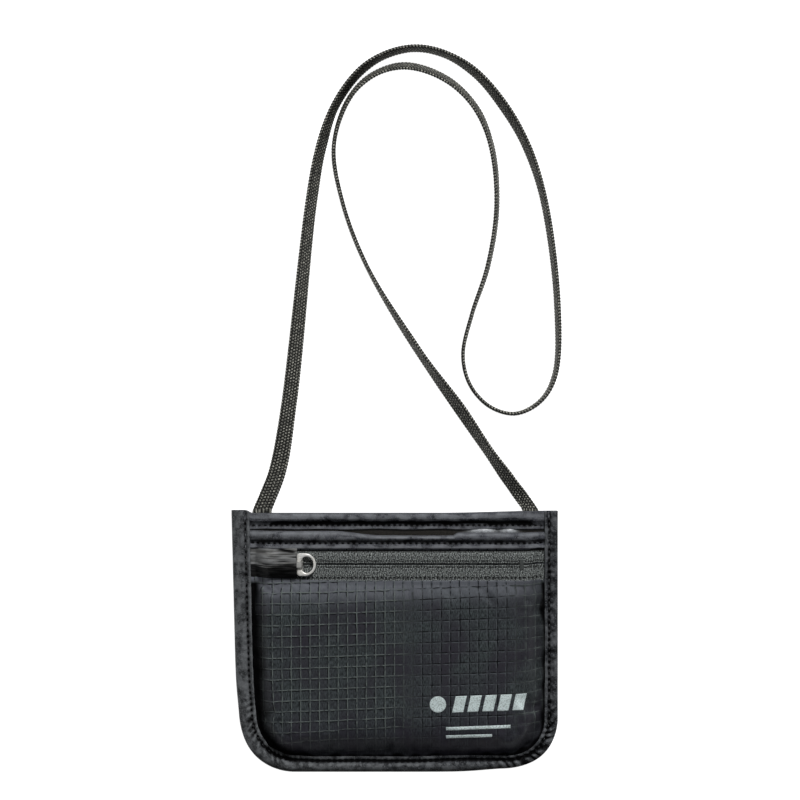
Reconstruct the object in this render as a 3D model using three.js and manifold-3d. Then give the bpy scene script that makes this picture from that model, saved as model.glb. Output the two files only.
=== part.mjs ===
// Neck pouch wallet: a two-pocket textile pouch with a zip and a flat braided neck strap.
// It lies on its back on a table with its front up and its strap laid out beyond its top edge.
// Millimetres. +X runs across the pouch, +Y towards the strap, +Z up from the table.
// The origin is the centre of the pouch's footprint, on the table.

import * as THREE from 'three';
import { mergeVertices } from 'three/addons/utils/BufferGeometryUtils.js';
import Module from 'manifold-3d';

const manifoldLibrary = await Module();
manifoldLibrary.setup();

// ---- Driving dimensions -------------------------------------------------------------------

const pouchWidth = 145;
const pouchHeight = 116.2;
const leftTaper = 2.3; // the left side leans in by this much on its way down to the corner
const leftCornerRadius = 26;
const rightCornerRadius = 24;

// How far the edge binding reaches in over the panels.
const bindingLeft = 8;
const bindingRight = 6;
const bindingBottom = 6.9;
const seamInset = 1; // the panels' raw edges stop this far inside the binding's fold

// The seams are a stack of equal layers of cloth, counted up from the table.
const cloth = 0.3;
const clothGap = 0.1;
const edgeBindingUnder = 0;
const rearBindingUnder = 1;
const rearPanelLayer = 2;
const rearLiningLayer = 3;
const pocketBindingUnder = 4; // the rear top binding's front leg lies on this layer too
const dividerLiningLayer = 5;
const dividerLayer = 6;
const zipTapeLayer = 7;
const frontPanelLayer = 8;
const pocketBindingOver = 8;
const edgeBindingOver = 9;

// How far each level stands above its seam once the pockets are open.
const slotRise = 4.9;
const zipRise = 7;
const frontRise = 8.65;
// The slope up to the level middle starts and ends this far inside the binding's inner edge.
const slopeStart = 2;
const slopeEnd = 9.4;

// Heights up the pouch (along Y).
const topEdge = pouchHeight / 2;
const bottomEdge = -topEdge;
const rearBindingWidth = 8.5;
const dividerTop = 48.1;
const pocketBindingWidth = 6.7;
const panelTopInset = 0.7; // the bound panels' raw edges stop this far below the bindings' folds
const rearLiningInset = 6.6; // the rear lining stops below the strap's sewn ends
const frontPanelTop = 28.5;
const frontSlopeStart = 20;
const frontSlopeEnd = 26;
const tapeBottom = 26;
const tapeSlopeStart = 38.6;
const tapeSlopeEnd = 41.2;
const tapeTop = 46.5;

// Zip.
const zipLine = 34.6; // where the two tapes meet
const zipSlit = 1.4; // the gap that the slider's post runs in
const coilWidth = 1.9;
const coilHeight = 1;
const zipStart = -52;
const zipEnd = 55.2;
const stopLength = 1.6;
const topStopGap = 0.2; // from the coils' closed ends to the top stops
const coilEndGap = 0.5; // from the coils' open ends to the bottom stop
const sliderNose = -51.5;
const sliderTail = -40.3;
const sliderWidth = 7;
const ringAxisX = -42.1;
const ringWidth = 10;
const ringReach = 7.6; // from the hinge line to the ring's round end
const ringThickness = 1.2;
const ringWall = 1.6;
const garageRight = -43.4;
const garageBottom = 28.8;
const garageTop = 41.1;

// Neck strap: a flat braid.
const strapWidth = 7.5;
const strapThickness = 1.5;
const strapSteps = 78;
const strapExitHeight = 2.1; // middle of the braid where it leaves the rear top binding
const strapTableGap = 0.05;
const strapEasing = 0.8; // how gently the strap rises from its exit to where it rests on edge
const strapRoom = 1.5; // how far the rear top binding is lifted over each strap end
const strapHeld = 8; // the braid keeps its exit height this far past the top edge
const strapSettled = 24; // and lies on the table from this far on
const leftStrapX = -59.1; // middles of the slots that the strap's ends come out of
const rightStrapX = 60.6;

// ---- Colours ------------------------------------------------------------------------------

const nylonColour = 0x35383b;
const liningColour = 0x6a6d70;
const bindingColour = 0x484a4c;
const threadColour = 0x2b2c2e;
const tapeColour = 0x4e5252;
const strapColour = 0x3a3a37;
const metalColour = 0xc9ccd0;

// ---- Geometry helpers ---------------------------------------------------------------------

const point = (x, y, z) => new THREE.Vector3(x, y, z);
const layerBottom = (layer) => layer * (cloth + clothGap);
const layerTop = (layer) => layerBottom(layer) + cloth;

const group = new THREE.Group();

function addPiece(name, geometry, colour, roughness = 0.9, metalness = 0) {
  const material = new THREE.MeshStandardMaterial({ color: colour, roughness, metalness });
  const mesh = new THREE.Mesh(geometry, material);
  mesh.name = name;
  group.add(mesh);
}

function signedVolume(positions, index) {
  const corners = [point(0, 0, 0), point(0, 0, 0), point(0, 0, 0)];
  let volume = 0;
  for (let i = 0; i < index.length; i += 3) {
    corners.forEach((corner, k) => corner.fromArray(positions, index[i + k] * 3));
    volume += corners[0].dot(corners[1].cross(corners[2])) / 6;
  }
  return volume;
}

// A sheet with thickness. Each row is a list of [over, under] point pairs, and all rows have the
// same number of pairs. Both faces are split along the same diagonals, so that sheets stacked on
// the same grid never cross.
function thickSheet(rows) {
  const columns = rows[0].length;
  const positions = [];
  const index = [];
  const over = (i, j) => 2 * (i * columns + j);
  const under = (i, j) => over(i, j) + 1;
  const quad = (a, b, c, d) => index.push(a, b, c, a, c, d);
  for (const row of rows) {
    for (const pair of row) {
      positions.push(...pair[0].toArray(), ...pair[1].toArray());
    }
  }
  const lastRow = rows.length - 1;
  const lastColumn = columns - 1;
  for (let i = 0; i < lastRow; i += 1) {
    for (let j = 0; j < lastColumn; j += 1) {
      quad(over(i, j), over(i, j + 1), over(i + 1, j + 1), over(i + 1, j));
      quad(under(i + 1, j + 1), under(i, j + 1), under(i, j), under(i + 1, j));
    }
    quad(over(i, 0), over(i + 1, 0), under(i + 1, 0), under(i, 0));
    quad(over(i + 1, lastColumn), over(i, lastColumn), under(i, lastColumn), under(i + 1, lastColumn));
  }
  for (let j = 0; j < lastColumn; j += 1) {
    quad(over(0, j + 1), over(0, j), under(0, j), under(0, j + 1));
    quad(over(lastRow, j), over(lastRow, j + 1), under(lastRow, j + 1), under(lastRow, j));
  }
  if (signedVolume(positions, index) < 0) {
    index.reverse();
  }
  const geometry = new THREE.BufferGeometry();
  geometry.setAttribute('position', new THREE.Float32BufferAttribute(positions, 3));
  geometry.setIndex(index);
  return geometry;
}

function toManifold(geometry) {
  const bare = geometry.clone();
  bare.deleteAttribute('normal');
  bare.deleteAttribute('uv');
  const merged = mergeVertices(bare, 1e-4);
  const mesh = new manifoldLibrary.Mesh({
    numProp: 3,
    vertProperties: new Float32Array(merged.attributes.position.array),
    triVerts: new Uint32Array(merged.index.array),
  });
  return new manifoldLibrary.Manifold(mesh);
}

function fromManifold(solid) {
  const mesh = solid.getMesh();
  const geometry = new THREE.BufferGeometry();
  geometry.setAttribute('position', new THREE.Float32BufferAttribute(mesh.vertProperties, 3));
  geometry.setIndex(Array.from(mesh.triVerts));
  return geometry;
}

// A box given by its lowest and highest corners.
function boxBetween(low, high) {
  const size = high.clone().sub(low);
  const middle = low.clone().add(high).multiplyScalar(0.5);
  return new THREE.BoxGeometry(size.x, size.y, size.z).translate(middle.x, middle.y, middle.z);
}

// A shape drawn in Y and Z, extruded along X.
function extrudeAlongX(shape, startX, endX) {
  const geometry = new THREE.ExtrudeGeometry(shape, { depth: endX - startX, bevelEnabled: false });
  geometry.rotateX(Math.PI / 2);
  geometry.rotateZ(Math.PI / 2);
  return geometry.translate(startX, 0, 0);
}

function polygon(corners) {
  return new THREE.Shape(corners.map(([x, y]) => new THREE.Vector2(x, y)));
}

// ---- Outline ------------------------------------------------------------------------------

const leftCornerX = -pouchWidth / 2 + leftTaper + leftCornerRadius;
const leftCornerY = bottomEdge + leftCornerRadius;
const rightCornerX = pouchWidth / 2 - rightCornerRadius;
const rightCornerY = bottomEdge + rightCornerRadius;

// The straight left side, which leans in on its way down.
function leftSide(y) {
  const down = Math.min((topEdge - y) / (topEdge - leftCornerY), 1);
  return -pouchWidth / 2 + leftTaper * down;
}

function leftEdge(y, inset) {
  if (y >= leftCornerY) {
    return leftSide(y) + inset;
  }
  const radius = leftCornerRadius - inset;
  return leftCornerX - Math.sqrt(Math.max(radius ** 2 - (leftCornerY - y) ** 2, 0));
}

function rightEdge(y, inset) {
  if (y >= rightCornerY) {
    return pouchWidth / 2 - inset;
  }
  const radius = rightCornerRadius - inset;
  return rightCornerX + Math.sqrt(Math.max(radius ** 2 - (rightCornerY - y) ** 2, 0));
}

// The outline from the top left corner, round the bottom, to the top right corner.
function tracePath(path, inset, top) {
  path.moveTo(leftEdge(top, inset), top);
  path.lineTo(leftEdge(leftCornerY, inset), leftCornerY);
  path.absarc(leftCornerX, leftCornerY, leftCornerRadius - inset, Math.PI, 1.5 * Math.PI);
  path.absarc(rightCornerX, rightCornerY, rightCornerRadius - inset, -0.5 * Math.PI, 0);
  path.lineTo(rightEdge(top, inset), top);
  return path;
}

// How far a place is inside the edge binding's inner edge, negative under the binding.
function distanceInside(x, y) {
  const fromLeft = x - leftSide(y) - bindingLeft;
  const fromRight = pouchWidth / 2 - bindingRight - x;
  const fromBottom = y - bottomEdge - bindingBottom;
  const radius = fromLeft < fromRight ? leftCornerRadius - bindingLeft : rightCornerRadius - bindingRight;
  const fromSide = Math.min(fromLeft, fromRight);
  if (fromSide < radius && fromBottom < radius) {
    return radius - Math.hypot(radius - fromSide, radius - fromBottom);
  }
  return Math.min(fromSide, fromBottom);
}

// 0 at the binding and 1 over the level middle of the pouch.
function puff(x, y) {
  return THREE.MathUtils.smoothstep(distanceInside(x, y), slopeStart, slopeEnd);
}

// ---- Cloth panels -------------------------------------------------------------------------

const panelColumns = [
  0, 0.055, 0.07, 0.085, 0.1, 0.1165, 0.25, 0.5, 0.75, 0.8985, 0.912, 0.926, 0.94, 0.955, 1,
];
const cornerRowInsets = [0, 0.6, 2.2, 4.4, 6.4, 8.6, 11, 13.5, 16.5, 20.5, 25];

function acrossPouch(y, share) {
  return THREE.MathUtils.lerp(leftEdge(y, seamInset), rightEdge(y, seamInset), share);
}

// A panel on one layer of the stack, lifted by rise(y) where the pockets are open.
function raisedPanel(layer, heights, rise) {
  const rows = heights.map((y) => panelColumns.map((share) => {
    const x = acrossPouch(y, share);
    const z = layerBottom(layer) + rise(y) * puff(x, y);
    return [point(x, y, z + cloth), point(x, y, z)];
  }));
  return thickSheet(rows);
}

const panelBottom = bottomEdge + seamInset;
const cornerRows = cornerRowInsets.map((inset) => panelBottom + inset);
const levelRows = [-8, 10];
const frontSlopeMiddle = (frontSlopeStart + frontSlopeEnd) / 2;
const dividerRows = [...cornerRows, ...levelRows, tapeBottom, dividerTop - panelTopInset];
const frontRows = [
  ...cornerRows, ...levelRows, frontSlopeStart, frontSlopeMiddle, frontSlopeEnd, frontPanelTop,
];

function frontPanelRise(y) {
  const down = THREE.MathUtils.smoothstep(y, frontSlopeStart, frontSlopeEnd);
  return THREE.MathUtils.lerp(frontRise, zipRise, down);
}

function flatPanel(layer, top) {
  const shape = tracePath(new THREE.Shape(), seamInset, top);
  const options = { depth: cloth, bevelEnabled: false, curveSegments: 10 };
  return new THREE.ExtrudeGeometry(shape, options).translate(0, 0, layerBottom(layer));
}

addPiece('rear_panel', flatPanel(rearPanelLayer, topEdge - panelTopInset), nylonColour);
addPiece('rear_lining', flatPanel(rearLiningLayer, topEdge - rearLiningInset), liningColour, 0.6);
addPiece('divider_lining', raisedPanel(dividerLiningLayer, dividerRows, () => slotRise), liningColour, 0.6);
addPiece('divider_panel', raisedPanel(dividerLayer, dividerRows, () => slotRise), nylonColour);
addPiece('front_panel', raisedPanel(frontPanelLayer, frontRows, frontPanelRise), nylonColour);

// ---- Bindings over the raw edges ----------------------------------------------------------

// The edge binding is one tape folded round the left side, the bottom and the right side.
const outlineStations = tracePath(new THREE.Path(), 0, topEdge).getPoints(11);

// The width of the binding changes evenly from one side to the other.
function bindingWidthAt(place) {
  const across = THREE.MathUtils.clamp(place.x / rightCornerX, -1, 1);
  const side = across < 0 ? bindingLeft : bindingRight;
  return THREE.MathUtils.lerp(bindingBottom, side, Math.abs(across));
}

// Unit normals that point into the pouch: level at the two top ends, square to the outline between.
const inwardNormals = outlineStations.map((place, i) => {
  if (place.y === topEdge) {
    return new THREE.Vector2(-Math.sign(place.x), 0);
  }
  const along = outlineStations[i + 1].clone().sub(outlineStations[i - 1]).normalize();
  return new THREE.Vector2(-along.y, along.x);
});

function insideOutline(i, inset, z) {
  const place = outlineStations[i].clone().addScaledVector(inwardNormals[i], inset);
  return point(place.x, place.y, z);
}

function edgeBinding() {
  const bottom = layerBottom(edgeBindingUnder);
  const top = layerTop(edgeBindingOver);
  const rows = outlineStations.map((place, i) => {
    const width = bindingWidthAt(place);
    return [
      [insideOutline(i, width, bottom), insideOutline(i, width, bottom + cloth)],
      [insideOutline(i, 0, bottom), insideOutline(i, cloth, bottom + cloth)],
      [insideOutline(i, 0, top), insideOutline(i, cloth, top - cloth)],
      [insideOutline(i, width, top), insideOutline(i, width, top - cloth)],
    ];
  });
  return thickSheet(rows);
}

// The places along a band that runs from one side of the pouch to the other.
const bandShares = panelColumns.filter((share) => share !== 0.25 && share !== 0.75);

// The pocket binding is folded over the divider's top edge and the zip tape's upper edge.
function pocketBinding() {
  const low = dividerTop - pocketBindingWidth;
  const rows = bandShares.map((share) => {
    const lift = slotRise * puff(acrossPouch(dividerTop, share), dividerTop);
    const bottom = layerBottom(pocketBindingUnder) + lift;
    const top = layerTop(pocketBindingOver) + lift;
    const corner = (y, z) => point(acrossPouch(y, share), y, z);
    return [
      [corner(low, bottom), corner(low, bottom + cloth)],
      [corner(dividerTop, bottom), corner(dividerTop - cloth, bottom + cloth)],
      [corner(dividerTop, top), corner(dividerTop - cloth, top - cloth)],
      [corner(low, top), corner(low, top - cloth)],
    ];
  });
  return thickSheet(rows);
}

// The rear top binding is lifted over each end of the strap, this far from the strap's middle.
const strapLiftFull = strapWidth / 2 + 1.6;
const strapLiftEnd = strapLiftFull + 3;

function strapLift(x) {
  const nearest = Math.min(Math.abs(x - leftStrapX), Math.abs(x - rightStrapX));
  return 1 - THREE.MathUtils.smoothstep(nearest, strapLiftFull, strapLiftEnd);
}

const liftMiddle = (strapLiftFull + strapLiftEnd) / 2;
const liftStations = [-strapLiftEnd, -liftMiddle, -strapLiftFull, strapLiftFull, liftMiddle, strapLiftEnd];
const rearBandStations = [
  leftEdge(topEdge, seamInset),
  ...liftStations.map((offset) => leftStrapX + offset),
  0,
  ...liftStations.map((offset) => rightStrapX + offset),
  rightEdge(topEdge, seamInset),
];

// The rear top binding is folded over the rear panel's top edge and the strap's two ends, which
// come out of it through a slot in its fold.
function rearTopBinding() {
  const low = topEdge - rearBindingWidth;
  const bottom = layerBottom(rearBindingUnder);
  const flatTop = layerTop(pocketBindingUnder);
  const shoulder = low + 3.1; // the lift over the strap's ends falls from here
  const foot = low + 2; // down to here, above the row of stitches
  const rows = rearBandStations.map((x) => {
    const top = flatTop + strapRoom * strapLift(x);
    return [
      [point(x, low, bottom), point(x, low, bottom + cloth)],
      [point(x, topEdge, bottom), point(x, topEdge - cloth, bottom + cloth)],
      [point(x, topEdge, top), point(x, topEdge - cloth, top - cloth)],
      [point(x, shoulder, top), point(x, shoulder + cloth, top - cloth)],
      [point(x, foot, flatTop), point(x, foot + 0.1, flatTop - cloth)],
      [point(x, low, flatTop), point(x, low, flatTop - cloth)],
    ];
  });
  let band = toManifold(thickSheet(rows));
  const slotHalf = strapLiftFull - 0.1;
  const slotBottom = strapExitHeight - strapThickness / 2 - 0.3;
  const slotTop = strapExitHeight + strapThickness / 2 + 0.2;
  for (const x of [leftStrapX, rightStrapX]) {
    const slotLow = point(x - slotHalf, topEdge - 0.5, slotBottom);
    const slotHigh = point(x + slotHalf, topEdge + 1, slotTop);
    band = band.subtract(toManifold(boxBetween(slotLow, slotHigh)));
  }
  return fromManifold(band);
}

addPiece('edge_binding', edgeBinding(), bindingColour);
addPiece('front_top_binding', pocketBinding(), bindingColour);
addPiece('rear_top_binding', rearTopBinding(), bindingColour);

// ---- Sewing thread ------------------------------------------------------------------------

const threadWidth = 0.45;
const threadHeight = 0.25;
const threadGap = 0.08;
const edgeStitchInset = 2; // from the binding's inner edge
const rearStitchY = 51.2;
const pocketStitchY = 43.6;
const zipStitchY = 27.6;

function edgeStitching() {
  const bottom = layerTop(edgeBindingOver) + threadGap;
  const rows = outlineStations.map((place, i) => {
    const middle = bindingWidthAt(place) - edgeStitchInset;
    return [-1, 1].map((side) => {
      const inset = middle + side * threadWidth / 2;
      return [insideOutline(i, inset, bottom + threadHeight), insideOutline(i, inset, bottom)];
    });
  });
  return thickSheet(rows);
}

// A straight row of stitches across the pouch, on top of one layer of the stack.
function straightStitching(y, layer, rise) {
  const rows = bandShares.slice(1, -1).map((share) => {
    const x = acrossPouch(y, share);
    const bottom = layerTop(layer) + rise * puff(x, y) + threadGap;
    return [-1, 1].map((side) => {
      const place = y + side * threadWidth / 2;
      return [point(x, place, bottom + threadHeight), point(x, place, bottom)];
    });
  });
  return thickSheet(rows);
}

addPiece('edge_stitching', edgeStitching(), threadColour);
addPiece('rear_top_stitching', straightStitching(rearStitchY, pocketBindingUnder, 0), threadColour);
addPiece('front_top_stitching', straightStitching(pocketStitchY, pocketBindingOver, slotRise), threadColour);
addPiece('zip_stitching', straightStitching(zipStitchY, frontPanelLayer, zipRise), threadColour);

// ---- Zip ----------------------------------------------------------------------------------

const tapeBottomZ = layerBottom(zipTapeLayer) + zipRise;
const tapeTopZ = tapeBottomZ + cloth;

// The upper tape slopes down to the divider, where the pocket binding holds it.
function tapeRise(y) {
  const down = THREE.MathUtils.clamp((y - tapeSlopeStart) / (tapeSlopeEnd - tapeSlopeStart), 0, 1);
  return THREE.MathUtils.lerp(zipRise, slotRise, down);
}

const lowerTapeRows = [tapeBottom, zipLine - zipSlit / 2];
const upperTapeRows = [zipLine + zipSlit / 2, tapeSlopeStart, tapeSlopeEnd, tapeTop];

addPiece('zip_tape_lower', raisedPanel(zipTapeLayer, lowerTapeRows, tapeRise), tapeColour);
addPiece('zip_tape_upper', raisedPanel(zipTapeLayer, upperTapeRows, tapeRise), tapeColour);

// The coils are sewn under the tapes' inner edges.
const coilTopZ = tapeBottomZ - clothGap;

function coil(side) {
  const inner = zipLine + side * zipSlit / 2;
  const outer = inner + side * coilWidth;
  const low = point(zipStart, Math.min(inner, outer), coilTopZ - coilHeight);
  const high = point(zipEnd - coilEndGap, Math.max(inner, outer), coilTopZ);
  return boxBetween(low, high);
}

addPiece('zip_coil_lower', coil(-1), tapeColour, 0.5);
addPiece('zip_coil_upper', coil(1), tapeColour, 0.5);

// A top stop is a nylon clip moulded round the inner edge of one tape.
function topStop(side) {
  const reach = 2;
  const wall = 0.25;
  const slack = 0.06;
  const edge = zipLine + side * (zipSlit / 2 - wall - slack);
  const across = [0, reach, reach, wall, wall, reach, reach, 0].map((offset) => edge + side * offset);
  const low = tapeBottomZ - slack - wall;
  const high = tapeTopZ + slack + wall;
  const up = [low, low, low + wall, low + wall, high - wall, high - wall, high, high];
  const corners = across.map((y, i) => [y, up[i]]);
  const right = zipStart - topStopGap;
  return extrudeAlongX(polygon(corners), right - stopLength, right);
}

// The bottom stop is a nylon bar moulded through both tapes, with its web in the slit between them.
function bottomStop() {
  const half = 2.2;
  const web = 0.45;
  const slack = 0.06;
  const wall = 0.45;
  const low = tapeBottomZ - slack - wall;
  const high = tapeTopZ + slack + wall;
  const right = [
    [half, low], [half, low + wall], [web, low + wall], [web, high - wall], [half, high - wall], [half, high],
  ];
  const left = right.map(([y, z]) => [-y, z]).reverse();
  const corners = [...right, ...left].map(([y, z]) => [zipLine + y, z]);
  return extrudeAlongX(polygon(corners), zipEnd, zipEnd + stopLength);
}

addPiece('zip_top_stop_lower', topStop(-1), tapeColour, 0.5);
addPiece('zip_top_stop_upper', topStop(1), tapeColour, 0.5);
addPiece('zip_bottom_stop', bottomStop(), tapeColour, 0.5);

// The garage is a grosgrain tab arched over the closed slider. It is sewn in under the left
// binding and along its two long edges, and it is open towards the zip.
const garageArch = 4.35;
const garageSquareness = 0.6; // below 1, the arch has steep sides and a broad top
const garageGap = 0.05;
const garageShares = [0, 0.05, 0.13, 0.24, 0.37, 0.5, 0.63, 0.76, 0.87, 0.95, 1];
const garageColumns = [0.035, 0.0485, 0.055, 0.07, 0.085, 0.1, 0.1165];
const garageRampStart = -63.8;
const garageRampEnd = -54.8;

function garage() {
  const section = (xAt) => garageShares.map((share) => {
    const y = THREE.MathUtils.lerp(garageBottom, garageTop, share);
    const x = xAt(y);
    const base = layerBottom(frontPanelLayer) + tapeRise(y) * puff(x, y) + garageGap;
    const arch = garageArch * Math.sin(Math.PI * share) ** garageSquareness;
    const z = base + arch * THREE.MathUtils.smoothstep(x, garageRampStart, garageRampEnd);
    return [point(x, y, z + cloth), point(x, y, z)];
  });
  const slope = garageColumns.map((column) => section((y) => acrossPouch(y, column)));
  const mouth = section(() => garageRight);
  return thickSheet([...slope, mouth]);
}

addPiece('zip_garage', garage(), bindingColour);

// ---- Slider -------------------------------------------------------------------------------

const plateThickness = 0.7;
const lowerPlateBottom = 7.9;
const lowerPlateTop = lowerPlateBottom + 0.6;
const upperPlateBottom = tapeTopZ + 0.2;
const upperPlateTop = upperPlateBottom + plateThickness;
const crownClearance = 1.05; // round the hinge line of the ring's bar
const ringAxisZ = upperPlateTop + crownClearance;
const crownWall = 0.7;
const crownWidth = 2.4;
const shoulderX = sliderNose + 3.4; // the plates are widest here
const shoulderHalf = sliderWidth / 2;
const noseHalf = shoulderHalf - 2;
const flangeEndX = sliderTail - 1;
const flangeOuter = shoulderHalf - 0.35; // the plates' half width at the flanges' ends
const flangeInner = shoulderHalf - 0.8;

// Seen from above: narrow at the tail, wide at the shoulders, blunt at the nose.
function sliderPlate(bottom, thickness) {
  const shape = new THREE.Shape();
  shape.moveTo(sliderTail, -flangeInner);
  shape.lineTo(sliderTail, flangeInner);
  shape.quadraticCurveTo(sliderTail - 0.2, flangeOuter, flangeEndX, flangeOuter);
  shape.lineTo(shoulderX, shoulderHalf);
  shape.quadraticCurveTo(sliderNose + 0.6, shoulderHalf, sliderNose, noseHalf);
  shape.lineTo(sliderNose, -noseHalf);
  shape.quadraticCurveTo(sliderNose + 0.6, -shoulderHalf, shoulderX, -shoulderHalf);
  shape.lineTo(flangeEndX, -flangeOuter);
  shape.quadraticCurveTo(sliderTail - 0.2, -flangeOuter, sliderTail, -flangeInner);
  const options = { depth: thickness, bevelEnabled: false, curveSegments: 4 };
  return new THREE.ExtrudeGeometry(shape, options).translate(0, zipLine, bottom);
}

function slider() {
  const pieces = [
    sliderPlate(upperPlateBottom, plateThickness),
    // The post that parts the two coils, at the nose.
    boxBetween(
      point(sliderNose + 0.6, zipLine - 0.4, lowerPlateTop - 0.1),
      point(sliderNose + 2.8, zipLine + 0.4, upperPlateBottom + 0.1),
    ),
  ];
  // The lower plate's flanges keep the coils in.
  for (const side of [-1, 1]) {
    const outer = zipLine + side * flangeOuter;
    const inner = zipLine + side * flangeInner;
    const low = point(shoulderX, Math.min(outer, inner), lowerPlateTop - 0.1);
    const high = point(flangeEndX, Math.max(outer, inner), coilTopZ - 0.3);
    pieces.push(boxBetween(low, high));
  }
  // The crown bridges the upper plate and holds the ring's bar.
  const crownTop = ringAxisZ + crownClearance + crownWall;
  const crown = polygon([
    [sliderNose + 1.2, upperPlateTop - 0.1], [sliderNose + 2, crownTop - 0.5], [sliderNose + 3, crownTop],
    [sliderTail - 0.5, crownTop], [sliderTail, crownTop - 0.5], [sliderTail, upperPlateTop - 0.1],
    [sliderTail - crownWall, upperPlateTop - 0.1], [sliderTail - crownWall, crownTop - crownWall],
    [sliderNose + 3.2, crownTop - crownWall], [sliderNose + 2.4, upperPlateTop - 0.1],
  ]);
  const crownGeometry = new THREE.ExtrudeGeometry(crown, { depth: crownWidth, bevelEnabled: false });
  crownGeometry.rotateX(Math.PI / 2);
  pieces.push(crownGeometry.translate(0, zipLine + crownWidth / 2, 0));
  const lowerPlate = toManifold(sliderPlate(lowerPlateBottom, lowerPlateTop - lowerPlateBottom));
  return fromManifold(pieces.reduce((body, piece) => body.add(toManifold(piece)), lowerPlate));
}

// The pull is a flat D-shaped ring: its straight side is the bar that hinges in the crown.
function pullRing() {
  const half = ringWidth / 2;
  const left = -ringWall / 2;
  const corner = 0.4;
  const shape = new THREE.Shape();
  shape.moveTo(left, -half + corner);
  shape.lineTo(left, half - corner);
  shape.quadraticCurveTo(left, half, left + corner, half);
  shape.lineTo(ringReach - half, half);
  shape.absarc(ringReach - half, 0, half, Math.PI / 2, -Math.PI / 2, true);
  shape.lineTo(left + corner, -half);
  shape.quadraticCurveTo(left, -half, left, -half + corner);
  const holeLeft = ringWall / 2;
  const holeRight = ringReach - ringWall;
  const hole = new THREE.Path();
  hole.absellipse((holeLeft + holeRight) / 2, 0, (holeRight - holeLeft) / 2, half - ringWall, 0, 2 * Math.PI);
  shape.holes.push(hole);
  const options = { depth: ringThickness, bevelEnabled: false, curveSegments: 20 };
  const geometry = new THREE.ExtrudeGeometry(shape, options);
  return geometry.translate(ringAxisX, zipLine, ringAxisZ - ringThickness / 2);
}

addPiece('zip_slider', slider(), metalColour, 0.35, 1);
addPiece('zip_pull_ring', pullRing(), metalColour, 0.25, 1);

// ---- Neck strap ---------------------------------------------------------------------------

// The strap's route over the table, from its left end to its right end. Each entry is X, Y and
// the braid's tilt in degrees: 0 lies flat and 90 stands on edge, as it does in the bends.
const strapRoute = [
  [-60.2, 54.9, 0], [-56.4, 63.6, 0], [-51.8, 76, 12], [-46.6, 106.7, 32], [-36.8, 195.3, 55],
  [-32.4, 219.5, 60], [-26.1, 237.6, 72], [-15.3, 252.4, 73], [-4, 259.8, 78], [9.3, 262.7, 80],
  [22.5, 260, 79], [35.8, 251.8, 71], [48.5, 236.9, 66], [58.5, 219.3, 71], [66.2, 195.3, 77],
  [72.1, 149, 80], [71, 118, 84], [64.6, 106.5, 87], [53.6, 100.9, 89], [42.5, 103.8, 90],
  [33.6, 113.3, 89], [30.3, 126.5, 88], [34.1, 144.3, 86], [41.4, 166.4, 82], [45.3, 193, 80],
  [42.9, 219.5, 76], [35.6, 236.9, 70], [22.6, 249.2, 66], [4.8, 254.9, 64], [-9.6, 250.9, 71],
  [-20.2, 240.4, 78], [-26.9, 219.5, 85], [-23.3, 195.3, 87], [-12.4, 166.4, 87], [10.4, 128.8, 72],
  [29.4, 102.2, 52], [41.4, 84.5, 60], [50.9, 71.2, 46], [59.3, 59.7, 0], [62, 55.5, 0],
];

class StrapCurve extends THREE.Curve {
  constructor(route) {
    super();
    this.plan = new THREE.CatmullRomCurve3(route.map(([x, y]) => point(x, y, 0)), false, 'centripetal');
    this.tilts = route.map(([, , tilt]) => THREE.MathUtils.degToRad(tilt));
    this.arcLengthDivisions = 1200;
  }

  // The tilt eases from one point of the route to the next.
  tiltAt(t) {
    const place = t * (this.tilts.length - 1);
    const before = Math.min(Math.floor(place), this.tilts.length - 2);
    const share = THREE.MathUtils.smoothstep(place - before, 0, 1);
    return THREE.MathUtils.lerp(this.tilts[before], this.tilts[before + 1], share);
  }

  // The braid rests on the table on its lower edge, except where it leaves the binding.
  getPoint(t, target = new THREE.Vector3()) {
    const tilt = this.tiltAt(t);
    const resting = (strapWidth * Math.sin(tilt) + strapThickness * Math.cos(tilt)) / 2 + strapTableGap;
    this.plan.getPoint(t, target);
    const fromExit = Math.max(target.y - topEdge, 0);
    const held = 1 - THREE.MathUtils.smoothstep(fromExit, strapHeld, strapSettled);
    const rise = resting - strapExitHeight;
    const eased = strapExitHeight + (rise + Math.hypot(rise, strapEasing)) / 2;
    target.z = THREE.MathUtils.lerp(resting, eased, held);
    return target;
  }

  // The section's X follows the braid's width, which the tilt lifts at its left edge.
  computeFrenetFrames(steps) {
    const frames = { tangents: [], normals: [], binormals: [] };
    for (let i = 0; i <= steps; i += 1) {
      const tilt = this.tiltAt(this.getUtoTmapping(i / steps));
      const tangent = this.getTangentAt(i / steps);
      const level = point(-tangent.y, tangent.x, 0).normalize();
      const upward = new THREE.Vector3().crossVectors(tangent, level);
      const across = level.multiplyScalar(Math.cos(tilt)).addScaledVector(upward, Math.sin(tilt));
      frames.tangents.push(tangent);
      frames.normals.push(across);
      frames.binormals.push(new THREE.Vector3().crossVectors(tangent, across));
    }
    return frames;
  }
}

function neckStrap() {
  const halfWidth = strapWidth / 2;
  const halfThickness = strapThickness / 2;
  const flatHalf = halfWidth - 0.5; // beyond this the braid's edges are rounded off
  const section = polygon([
    [halfWidth, -halfThickness / 2], [halfWidth, halfThickness / 2], [flatHalf, halfThickness],
    [-flatHalf, halfThickness], [-halfWidth, halfThickness / 2], [-halfWidth, -halfThickness / 2],
    [-flatHalf, -halfThickness], [flatHalf, -halfThickness],
  ]);
  return new THREE.ExtrudeGeometry(section, {
    steps: strapSteps,
    bevelEnabled: false,
    extrudePath: new StrapCurve(strapRoute),
  });
}

addPiece('neck_strap', neckStrap(), strapColour);

export default group;
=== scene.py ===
import math

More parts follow.
